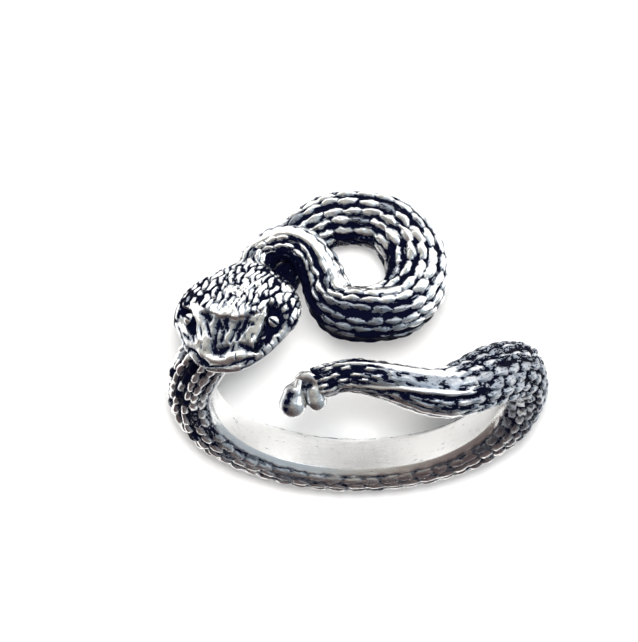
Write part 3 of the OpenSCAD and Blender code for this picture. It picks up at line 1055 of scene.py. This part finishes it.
        height, dark = self.relief(base, forward, angle, run)
        points = self.nape + (base + normal * height[..., None]) @ self.pose.axes()
        flow = base * np.array([1 / self.streak_length, 1, 1])
        return Skin(points, np.clip(dark, 0, 1), flow)

    def relief(self, base: Array, forward: Array, angle: Array, run: Array) -> tuple[Array, Array]:
        """Height, and tarnish with painted shade, of everything on the head.

        Args:
            base: The smooth head's points.
            forward: Shares of the head's length.
            angle: Angles round the head.
            run: Millimetres round the head from its middle line.

        Returns:
            Two arrays, one value for each point.
        """
        side = np.abs(angle)
        along = forward * self.length
        over_mouth = step(104, 96, side)
        brow_line = self.brow_at - 0.00012 * (angle + 8) ** 2 + 0.005 * np.sin(angle * 0.55)
        past_brow = forward - np.maximum(brow_line, 0.55)

        height, dark = self.crown(forward, angle, run, past_brow, over_mouth)
        height, dark = self.carve(base, along, run, height, dark)
        for bead, size in BEADS:
            gap = np.linalg.norm(base - self.spot(bead), axis=-1)
            height = height + 0.7 * size * bell(gap, size)
            dark = dark - 1.4 * bell(gap, size * 0.9)

        # Front of the face: a faint ripple in the height, and a little painted shade that greys it.
        front = step(0, 0.03, past_brow) * over_mouth
        height = height + 0.03 * front * ripple(along * 1.7, run * 1.7, 14)
        lip_height, lip_dark = self.mouth(base, forward, side)
        return height + lip_height, dark + 0.09 * front + lip_dark

    def crown(
        self, forward: Array, angle: Array, run: Array, past_brow: Array, over_mouth: Array
    ) -> tuple[Array, Array]:
        """The crown's and the cheeks' plates, and the brow in front of them.

        Args:
            forward: Shares of the head's length.
            angle: Angles round the head.
            run: Millimetres round the head from its middle line.
            past_brow: Shares of the head's length from the brow on.
            over_mouth: 1 over the mouth and 0 under it.

        Returns:
            Height, and tarnish with painted shade, at each point.
        """
        side, along = np.abs(angle), forward * self.length
        behind_brow = step(0, -0.02, past_brow)
        cheek = step(0.66, 0.6, forward) * step(44, 56, side)
        scaled = np.clip(np.maximum(behind_brow * step(56, 46, side), cheek), 0, 1) * over_mouth
        scaled = scaled * step(0.045, 0.07, forward)

        apart = 0.62 + 1.5 * step(4, 28, angle) + 1.6 * step(-14, -38, angle) + 0.4 * step(0.4, 0.14, forward)
        jagged = 0.07 * ripple(along * 3.3, run * 4.5, 16) + 0.03 * ripple(along * 7, run * 7, 20)
        warp = 0.15 * np.sin(run * 2.1) + 0.1 * np.sin(forward * 31 + run * 3) + 1.6 * jagged
        dome, groove = self.plates(along + warp, run + 0.08 * np.sin(forward * 40) + jagged, apart)
        plain = bell(past_brow + 0.05, 0.075) * step(28, 14, np.abs(angle + 6))
        brow = step(0.52, 0.66, forward) * behind_brow * step(40, 24, np.abs(angle + 4))
        height = self.plate_height * dome * scaled * (1 - 0.6 * plain) + self.brow_height * brow
        # The grooves, and the painted shade on one side of some plates, darken the crown.
        dark = (0.04 + 1.05 * groove) * scaled * (1 - 0.75 * plain)
        # Painted shade: a grey line under the brow's edge.
        return height, dark + 0.3 * bell(past_brow - 0.014, 0.01) * step(24, 16, np.abs(angle + 6))

    def carve(
        self, base: Array, along: Array, run: Array, height: Array, dark: Array
    ) -> tuple[Array, Array]:
        """Cuts the face's grooves and sockets, and raises the ridges beside them.

        Args:
            base: The smooth head's points.
            along: Millimetres from the nape.
            run: Millimetres round the head from its middle line.
            height: The height so far.
            dark: The tarnish and painted shade so far.

        Returns:
            The new height, tarnish and painted shade.
        """
        ragged = base + 0.07 * np.stack([ripple(along * 2.6, run * 2.6, salt) for salt in (11, 12, 13)], -1)
        for stroke in FACE_STROKES + (MOUTH_LINE,):
            gap = self.stroke(ragged, stroke)
            height = height - stroke.depth * (0.5 * bell(gap, 2.3) + 0.5 * bell(gap, 1.1))
            dark = dark + bell(gap, 0.95) + 0.2 * bell(gap, 2.2)
        for socket in SOCKETS:
            hollow = np.exp(-(self.stroke(ragged, socket) ** 4))
            height = height - socket.depth * hollow
            dark = dark * (1 - hollow) + 1.1 * step(0.25, 0.7, hollow)
        for places, width, rise, polish in (
            (RIGHT_RIDGE, 0.17, 0.13, 0.9), (LEFT_RIDGE, 0.17, 0.13, 0.9), (UPPER_LIP, 0.2, 0.09, 0.5),
        ):
            crest = self.ridge(base, places, width)
            height = height + rise * crest
            dark = dark - polish * crest
        blots = step(-0.1, 0.45, ripple(along * 3.4, run * 4.2, 17)) * self.ridge(base, CANTHUS, 0.36)
        return height - 0.05 * blots, dark + 0.62 * blots

    def mouth(self, base: Array, forward: Array, side: Array) -> tuple[Array, Array]:
        """The corner of the mouth and the plates of the upper lip.

        Args:
            base: The smooth head's points.
            forward: Shares of the head's length.
            side: Angles from the crown, the same to both sides.

        Returns:
            Height and tarnish to add.
        """
        line = np.array([self.spot(place) for place in MOUTH_CORNER])
        width = np.full(len(line), self.groove_width)
        mirror = np.array([1, -1, 1])
        groove = bell(np.minimum(to_line(base, line, width), to_line(base, line * mirror, width)), 1)
        lip = within(forward, 0.5, 0.6, 0.98, 1.05) * bell(side - 88, 11)
        plate = np.mod(forward * self.length + 0.22 * np.sin(forward * 31), self.lip_plate) / self.lip_plate
        notch = step(0.84, 0.97, np.abs(plate - 0.5) * 2)
        between = notch * bell(side - 88, 10) * within(forward, 0.5, 0.6, 0.87, 0.93)
        above = bell(side - 76, 3) * within(forward, 0.64, 0.7, 0.85, 0.9)
        height = 0.09 * lip - 0.13 * groove - 0.07 * between - 0.05 * above
        return height, 1.2 * groove + between + 0.6 * above

    def eye(self, place: Place) -> Skin:
        """A ball eye with a slit pupil, set in its socket.

        Args:
            place: The eye's place on the head.

        Returns:
            The eye's skin, open at its two poles.
        """
        angle = math.radians(place.angle)
        outward = np.array([0, math.sin(angle), math.cos(angle)])
        rays = ball(30, 48, 0.02)
        facing = rays @ outward
        across_slit = rays @ (self.pose.axes() @ np.array(self.slit_normal))
        slit = bell(across_slit, self.slit_width) * step(0, 0.3, facing)
        surface = rays * (self.eye_radius * (1 - self.slit_depth * slit))[..., None]
        points = self.spot(place) - outward * self.eye_depth + surface
        dark = np.clip(1.3 * slit + step(0.1, -0.25, facing), 0, 1)
        return Skin(self.nape + points @ self.pose.axes(), dark, rays * self.eye_radius)


# Meshes

@dataclass
class CastMesh:
    """Collects skins into one closed mesh with a value of tarnish and painted shade on every point."""

    ring: RingFrame

    def __post_init__(self) -> None:
        """Starts empty."""
        self.points: list[Array] = []
        self.tarnish: list[Array] = []
        self.flow: list[Array] = []
        self.faces: list[Array] = []
        self.count = 0

    def add_points(self, skin: Skin) -> Array:
        """Adds points without faces.

        Args:
            skin: The points with their tarnish and painted shade, and flow.

        Returns:
            The points' numbers, in the grid's shape.
        """
        shape = skin.points.shape[:-1]
        numbers = self.count + np.arange(int(np.prod(shape))).reshape(shape)
        self.points.append(skin.points.reshape(-1, 3))
        self.tarnish.append(skin.tarnish.reshape(-1))
        self.flow.append(skin.flow.reshape(-1, 3))
        self.count += numbers.size
        return numbers

    def add_skin(self, skin: Skin) -> Array:
        """Adds a grid that closes round the body.

        Args:
            skin: The grid, ring after ring.

        Returns:
            The points' numbers, in the grid's shape.
        """
        numbers = self.add_points(skin)
        self.join(numbers[:-1], numbers[1:])
        return numbers

    def add_closed(self, skin: Skin) -> None:
        """Adds a grid and closes both its ends.

        Args:
            skin: The grid, ring after ring.
        """
        numbers = self.add_skin(skin)
        self.close(numbers[0], at_start=True)
        self.close(numbers[-1], at_start=False)

    def taken(self, numbers: Array) -> Skin:
        """Skin that is in the mesh already, by its points' numbers."""
        return Skin(*(np.concatenate(part)[numbers] for part in (self.points, self.tarnish, self.flow)))

    def join(self, first: Array, second: Array) -> None:
        """Four-sided faces between rings of the same number of points.

        Args:
            first: The numbers of one ring, or of several.
            second: The numbers of the ring after it, or after each.
        """
        first, second = np.atleast_2d(first), np.atleast_2d(second)
        quads = np.stack([first, second, np.roll(second, -1, axis=1), np.roll(first, -1, axis=1)], -1)
        self.faces.append(quads.reshape(-1, 4))

    def join_double(self, first: Array, second: Array) -> None:
        """Three triangles a column between a ring and one of twice as many points.

        Args:
            first: The numbers of the ring with fewer points.
            second: The numbers of the other ring.
        """
        after = np.roll(first, -1)
        even, odd = second[0::2], second[1::2]
        next_even = np.roll(even, -1)
        for corners in ((first, even, odd), (first, odd, after), (after, odd, next_even)):
            self.faces.append(np.stack(corners, -1))

    def close(self, ring: Array, at_start: bool) -> None:
        """Closes an open ring with a fan about its middle.

        Args:
            ring: The ring's numbers.
            at_start: Whether the ring is the first of its grid.
        """
        edge = self.taken(ring)
        parts = (edge.points, edge.tarnish, edge.flow)
        middle = self.add_points(Skin(*(part.mean(axis=0)[None] for part in parts)))
        centre = np.full(len(ring), middle[0])
        after = np.roll(ring, -1)
        corners = (centre, ring, after) if at_start else (centre, after, ring)
        self.faces.append(np.stack(corners, -1))

    def cap(self, ring: Array, at_start: bool) -> None:
        """Closes a cut end with points of its own, so that the skin beside it keeps its own shading."""
        self.close(self.add_points(self.taken(ring)), at_start)

    def build(self, name: str, material: bpy.types.Material) -> bpy.types.Object:
        """Makes the Blender object.

        Args:
            name: The piece's name.
            material: Its finish.

        Returns:
            The object, riding on the ring's only body.
        """
        mesh = bpy.data.meshes.new(name)
        faces = [tuple(face) for block in self.faces for face in block.tolist()]
        mesh.from_pydata(self.ring.on_table(np.concatenate(self.points)).tolist(), [], faces)
        mesh.polygons.foreach_set("use_smooth", np.ones(len(mesh.polygons), dtype=bool))
        layer = mesh.attributes.new("tarnish", "FLOAT", "POINT")
        layer.data.foreach_set("value", np.concatenate(self.tarnish).astype(np.float32))
        layer = mesh.attributes.new("flow", "FLOAT_VECTOR", "POINT")
        layer.data.foreach_set("vector", np.concatenate(self.flow).astype(np.float32).ravel())
        mesh.materials.append(material)
        mesh.update()
        made = bpy.data.objects.new(name, mesh)
        bpy.context.scene.collection.objects.link(made)
        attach(made, "root")
        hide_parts("snake_ring")
        triangles = sum(len(face) - 2 for face in faces)
        log.info("%s: %d triangles", name, triangles)
        return made


@dataclass(frozen=True)
class SnakeCasting:
    """The whole snake, cast in one: the band with its tail, the loop with the neck, and the head."""

    ring: RingFrame
    path: SnakePath
    pose: HeadPose
    coat: GrainCoat
    parting_turn: float = 315
    tail_start: float = 2.5
    band_step: float = 0.142
    loop_step: float = 0.085
    collar: float = 0.1

    def body(self) -> Body:
        """The body's maker."""
        return Body(self.ring, self.path, self.pose, self.coat)

    def lengths(self, start: float, end: float, spacing: float) -> Array:
        """Evenly spaced lengths from start to end."""
        return np.linspace(start, end, int(round((end - start) / spacing)) + 1)

    def build_band(self, material: bpy.types.Material) -> bpy.types.Object:
        """Rattle, tail and band, up to the place under the head.

        Args:
            material: The casting's finish.

        Returns:
            The piece.
        """
        cast = CastMesh(self.ring)
        parting = self.path.length_at_turn(self.parting_turn)
        skin = cast.add_skin(self.body().skin(self.lengths(self.tail_start, parting, self.band_step)))
        cast.close(skin[0], at_start=True)
        cast.cap(skin[-1], at_start=False)
        for blob in RATTLE_BLOBS:
            cast.add_closed(blob.skin())
        return cast.build("snake_band", material)

    def build_loop(self, material: bpy.types.Material) -> bpy.types.Object:
        """The loop on the crown and the neck that climbs off it.

        Args:
            material: The casting's finish.

        Returns:
            The piece.
        """
        cast = CastMesh(self.ring)
        parting = self.path.length_at_turn(self.parting_turn)
        collar = self.path.length() - self.collar
        skin = cast.add_skin(self.body().skin(self.lengths(parting, collar, self.loop_step)))
        cast.cap(skin[0], at_start=True)
        cast.cap(skin[-1], at_start=False)
        return cast.build("snake_loop", material)

    def build_head(self, material: bpy.types.Material) -> bpy.types.Object:
        """The head from the nape on, with its two eyes.

        Args:
            material: The casting's finish.

        Returns:
            The piece.
        """
        body = self.body()
        cast = CastMesh(self.ring)
        nape_length = self.path.length()
        nape = self.path.at(np.array([nape_length]))[0, :3]
        head = Head(self.pose, nape, 2 * body.columns)
        collar = cast.add_skin(body.skin(np.array([nape_length - self.collar, nape_length])))
        face = cast.add_skin(head.skin())
        cast.cap(collar[0], at_start=True)
        cast.join_double(collar[-1], face[0])
        cast.close(face[-1], at_start=False)
        for place in head.eyes:
            cast.add_closed(head.eye(place))
        return cast.build("snake_head", material)


# Finishes

class Value:
    """A number socket of a node tree that can be reckoned with."""

    def __init__(self, shader: "Shader", socket: Socket) -> None:
        """Keeps the tree's helper and the socket."""
        self.shader = shader
        self.socket = socket

    def _with(self, operation: str, first: object, second: object) -> "Value":
        """A Math node on two numbers."""
        made = self.shader.node("ShaderNodeMath", {"operation": operation}, {0: first, 1: second})
        return Value(self.shader, made.outputs[0])

    def __add__(self, other: object) -> "Value":
        """Self plus other."""
        return self._with("ADD", self, other)

    def __radd__(self, other: object) -> "Value":
        """Other plus self."""
        return self._with("ADD", other, self)

    def __sub__(self, other: object) -> "Value":
        """Self less other."""
        return self._with("SUBTRACT", self, other)

    def __rsub__(self, other: object) -> "Value":
        """Other less self."""
        return self._with("SUBTRACT", other, self)

    def __mul__(self, other: object) -> "Value":
        """Self times other."""
        return self._with("MULTIPLY", self, other)

    def __rmul__(self, other: object) -> "Value":
        """Other times self."""
        return self._with("MULTIPLY", other, self)

    def between(self, low: float, high: float) -> "Value":
        """A smooth step.

        Args:
            low: The value where the step leaves 0.
            high: The value where it reaches 1.

        Returns:
            The step's height.
        """
        made = self.shader.node(
            "ShaderNodeMapRange",
            {"interpolation_type": "SMOOTHSTEP"},
            {"Value": self, "From Min": low, "From Max": high},
        )
        return Value(self.shader, made.outputs["Result"])


class Shader:
    """Makes the nodes of one node tree."""

    def __init__(self, tree: bpy.types.NodeTree) -> None:
        """Starts from an empty tree."""
        self.tree = tree
        tree.nodes.clear()

    def node(self, kind: str, settings: dict, inputs: dict) -> bpy.types.Node:
        """Adds one node.

        Args:
            kind: The node's type.
            settings: Its properties, and "stops" for a colour ramp as (place, colour) pairs.
            inputs: Values or links of its sockets, by name or number.

        Returns:
            The new node.
        """
        made = self.tree.nodes.new(kind)
        for name, setting in settings.items():
            if name == "stops":
                self._set_stops(made.color_ramp, setting)
            else:
                setattr(made, name, setting)
        for name, given in inputs.items():
            socket = made.inputs[name]
            if isinstance(given, Value):
                self.tree.links.new(given.socket, socket)
            elif isinstance(given, Socket):
                self.tree.links.new(given, socket)
            else:
                socket.default_value = given
        return made

    def _set_stops(self, ramp: bpy.types.ColorRamp, stops: tuple) -> None:
        """Puts a colour ramp's stops in place.

        Args:
            ramp: The colour ramp.
            stops: Pairs of a place and a colour, in order.
        """
        while len(ramp.elements) < len(stops):
            ramp.elements.new(1)
        for element, (place, colour) in zip(ramp.elements, stops):
            element.position = place
            element.color = (*colour, 1)

    def value(self, node: bpy.types.Node, output: str | int = 0) -> Value:
        """One of a node's outputs as a number."""
        return Value(self, node.outputs[output])

    def noise(self, place: Socket, scale: float, detail: float) -> Value:
        """Soft clouds from 0 to 1, about half on average."""
        inputs = {"Vector": place, "Scale": scale, "Detail": detail}
        return self.value(self.node("ShaderNodeTexNoise", {}, inputs))

    def toward(self, direction: Socket, side: Vector) -> Value:
        """How far a direction points to one side, from -1 to 1."""
        made = self.node("ShaderNodeVectorMath", {"operation": "DOT_PRODUCT"}, {0: direction, 1: side})
        return self.value(made, "Value")

    def mixed(self, share: Value, first: Triple | Socket, second: Triple | Socket) -> Socket:
        """A colour between two.

        Args:
            share: 0 for the first colour, 1 for the second.
            first: The first colour, or a link to it.
            second: The second colour, or a link to it.

        Returns:
            The mixed colour's socket.
        """
        start, end = ((*given, 1) if isinstance(given, tuple) else given for given in (first, second))
        return self.node("ShaderNodeMix", {"data_type": "RGBA"}, {0: share, 6: start, 7: end}).outputs[2]


@dataclass(frozen=True)
class AntiquedSilver:
    """Bright polished silver on what stands up, black oxide in what lies deep, with painted shade and painted
    highlights carried in the same mask.

    Each pattern has its scale and its detail. The edges are where oxide and haze begin, and where they
    are full.
    """

    bright: Triple = (0.93, 0.925, 0.91)
    worn: Triple = (0.28, 0.31, 0.355)
    oxide: Triple = (0.0012, 0.0016, 0.007)
    polished: float = 0.19
    rubbed: float = 0.32
    sooty: float = 0.5
    blotches: Pair = (900, 3)
    speckles: Pair = (5200, 4)
    ripples: Pair = (2200, 2)
    streaks: Pair = (5.5, 3)
    fine_streaks: Pair = (13, 2)
    oxide_edge: Pair = (0.42, 0.56)
    haze_edge: Pair = (0.08, 0.95)
    bump_strength: float = 0.4
    bump_height: float = 0.00006
    specular: float = 0.015

    def build(self) -> bpy.types.Material:
        """Makes the material.

        Returns:
            The finish of the whole casting.
        """
        material = bpy.data.materials.new("antiqued_silver")
        material.use_nodes = True
        shader = Shader(material.node_tree)
        place = shader.node("ShaderNodeTexCoord", {}, {}).outputs["Object"]
        flow = shader.node("ShaderNodeAttribute", {"attribute_name": "flow"}, {}).outputs["Vector"]
        dark = shader.value(shader.node("ShaderNodeAttribute", {"attribute_name": "tarnish"}, {}), "Fac")

        blotch = shader.noise(place, *self.blotches)
        speckle = shader.noise(place, *self.speckles)
        waves = shader.noise(place, *self.ripples)
        streak = shader.noise(flow, *self.streaks)
        fine = shader.noise(flow, *self.fine_streaks)
        ragged = 1.1 * (streak - 0.5) + 1.5 * (fine - 0.5) + 0.3 * (blotch - 0.5) + 0.8 * (speckle - 0.5)
        oxide = (dark + ragged).between(*self.oxide_edge)
        haze = 3.4 * dark + 0.6 * (blotch - 0.5) + 0.8 * (streak - 0.5) + 0.6 * (fine - 0.5)
        haze = haze.between(*self.haze_edge)

        colour = shader.mixed(oxide, shader.mixed(haze, self.bright, self.worn), self.oxide)
        rough = self.polished + (self.rubbed - self.polished) * haze + (self.sooty - self.rubbed) * oxide
        bump = shader.node("ShaderNodeBump", {}, {
            "Height": 0.5 * streak + 0.3 * fine + 0.2 * speckle + 0.3 * waves,
            "Strength": self.bump_strength,
            "Distance": self.bump_height,
        })
        finish = shader.node("ShaderNodeBsdfPrincipled", {}, {
            "Base Color": colour,
            "Metallic": 1 - oxide,
            "Roughness": rough,
            "Normal": bump.outputs[0],
            "Specular IOR Level": self.specular,
        })
        shader.node("ShaderNodeOutputMaterial", {}, {"Surface": finish.outputs[0]})
        return material


@dataclass(frozen=True)
class PaleTable:
    """The pale table top under the ring."""

    colour: Triple = (0.9, 0.895, 0.885)
    shade: Triple = (0.86, 0.855, 0.845)
    clouds: Pair = (40, 3)
    roughness: float = 0.6
    half_size: float = 0.6

    def build(self) -> bpy.types.Object:
        """Lays the table top at height zero.

        Returns:
            The table top.
        """
        material = bpy.data.materials.new("pale_table")
        material.use_nodes = True
        shader = Shader(material.node_tree)
        place = shader.node("ShaderNodeTexCoord", {}, {}).outputs["Object"]
        finish = shader.node("ShaderNodeBsdfPrincipled", {}, {
            "Base Color": shader.mixed(shader.noise(place, *self.clouds), self.colour, self.shade),
            "Roughness": self.roughness,
        })
        shader.node("ShaderNodeOutputMaterial", {}, {"Surface": finish.outputs[0]})
        size = self.half_size
        corners = [(-size, -size, 0), (size, -size, 0), (size, size, 0), (-size, size, 0)]
        mesh = bpy.data.meshes.new("table_top")
        mesh.from_pydata(corners, [], [(0, 1, 2, 3)])
        mesh.materials.append(material)
        table = bpy.data.objects.new("table_top", mesh)
        bpy.context.scene.collection.objects.link(table)
        return table


# Light and camera

class Seen(Enum):
    """Whether a lamp shows as a reflection in the metal."""

    IN_METAL = True
    ONLY_AS_LIGHT = False


@dataclass(frozen=True)
class SoftLamp:
    """A large soft lamp that looks at the ring."""

    name: str
    place: Triple
    size: float
    power: float
    seen: Seen

    def build(self) -> bpy.types.Object:
        """Hangs the lamp.

        Returns:
            The lamp.
        """
        data = bpy.data.lights.new(self.name, "AREA")
        data.shape = "DISK"
        data.size = self.size
        data.energy = self.power
        lamp = bpy.data.objects.new(self.name, data)
        lamp.location = self.place
        lamp.rotation_euler = (-Vector(self.place)).to_track_quat("-Z", "Y").to_euler()
        lamp.visible_glossy = self.seen.value
        bpy.context.scene.collection.objects.link(lamp)
        return lamp


LAMPS = (
    SoftLamp("window", (0.0, -0.55, 0.48), 0.14, 10.5, Seen.ONLY_AS_LIGHT),
    SoftLamp("ceiling", (0.1, 0.15, 0.8), 1.4, 2.2, Seen.ONLY_AS_LIGHT),
    SoftLamp("side_card", (-0.42, -0.25, 0.08), 0.25, 0.25, Seen.IN_METAL),
)

DIM_SIDE = (-0.4, -0.794, -0.458)
COOL_SIDE = (1, 0, 0)


@dataclass(frozen=True)
class Room:
    """The light of the room: bright towards one side, dim towards the other, cool towards a third.

    The stops run from the bright side to the dim one.
    """

    dim_side: Vector
    cool_side: Vector
    warm: Triple = (1.01, 1.0, 0.985)
    cool: Triple = (0.83, 0.94, 1.09)
    cool_edge: Pair = (-0.2, 0.65)
    stops: tuple = (
        (0, (1.6, 1.6, 1.6)), (0.13, (1.45, 1.45, 1.44)), (0.21, (0.92, 0.93, 0.91)),
        (0.3, (0.6, 0.61, 0.59)), (0.5, (0.5, 0.5, 0.475)), (0.62, (0.45, 0.445, 0.42)),
        (0.72, (0.36, 0.34, 0.32)), (0.82, (0.235, 0.2, 0.19)), (1, (0.08, 0.06, 0.066)),
    )

    def build(self) -> None:
        """Sets the world's colours by direction."""
        world = bpy.data.worlds.new("room")
        bpy.context.scene.world = world
        world.use_nodes = True
        shader = Shader(world.node_tree)
        direction = shader.node("ShaderNodeTexCoord", {}, {}).outputs["Generated"]
        share = shader.toward(direction, self.dim_side) * 0.5 + 0.5
        ramp = shader.node("ShaderNodeValToRGB", {"stops": self.stops}, {"Fac": share})
        cooling = shader.toward(direction, self.cool_side).between(*self.cool_edge)
        tint = shader.mixed(cooling, self.warm, self.cool)
        tinted = shader.node(
            "ShaderNodeMix",
            {"data_type": "RGBA", "blend_type": "MULTIPLY"},
            {0: 1, 6: ramp.outputs[0], 7: tint},
        )
        light = shader.node("ShaderNodeBackground", {}, {"Color": tinted.outputs[2]})
        shader.node("ShaderNodeOutputWorld", {}, {"Surface": light.outputs[0]})


@dataclass(frozen=True)
class PhotoCamera:
    """A long lens at the photograph's angle to the ring."""

    ring: RingFrame
    picture_width: float = 638
    picture_height: float = 642
    ring_column: float = 357
    ring_line: float = 385
    pixels_per_mm: float = 16.4
    above_hole: float = 60
    distance: float = 0.9
    sensor: float = 36

    def build(self) -> bpy.types.Object:
        """Sets up the camera and makes it the scene's.

        Returns:
            The camera.
        """
        tilt = math.radians(self.above_hole)
        right = self.ring.direction((1, 0, 0))
        toward = self.ring.direction((0, -math.cos(tilt), math.sin(tilt)))
        up = toward.cross(right)
        aside = (self.picture_width / 2 - self.ring_column) / self.pixels_per_mm * MM
        above = (self.ring_line - self.picture_height / 2) / self.pixels_per_mm * MM
        aim = Vector(self.ring.centre) + right * aside + up * above
        data = bpy.data.cameras.new("photo_camera")
        data.sensor_fit = "HORIZONTAL"
        data.sensor_width = self.sensor
        data.lens = self.sensor * self.distance / (self.picture_width / self.pixels_per_mm * MM)
        data.clip_start = 0.01
        data.clip_end = 10
        camera = bpy.data.objects.new("photo_camera", data)
        turning = Matrix((right, up, toward)).transposed().to_4x4()
        camera.matrix_world = Matrix.Translation(aim + toward * self.distance) @ turning
        bpy.context.scene.collection.objects.link(camera)
        bpy.context.scene.camera = camera
        return camera


def main() -> None:
    """Builds the snake, the table, the light and the camera."""
    logging.basicConfig(level=logging.INFO)
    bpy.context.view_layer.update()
    hole = next(m for m in frame["record"]["mounts"] if m["name"] == "finger_hole")
    ring = RingFrame(tuple(hole["pos_m"]), hole["dims"]["r_mm"])
    PhotoCamera(ring).build()
    silver = AntiquedSilver().build()
    casting = SnakeCasting(ring, SnakePath(ring.hole_radius), HeadPose(), GrainCoat())
    casting.build_band(silver)
    casting.build_loop(silver)
    casting.build_head(silver)
    PaleTable().build()
    for lamp in LAMPS:
        lamp.build()
    Room(ring.direction(DIM_SIDE), ring.direction(COOL_SIDE)).build()
    bpy.context.scene.view_settings.view_transform = "Standard"


if __name__ == "__main__":
    main()
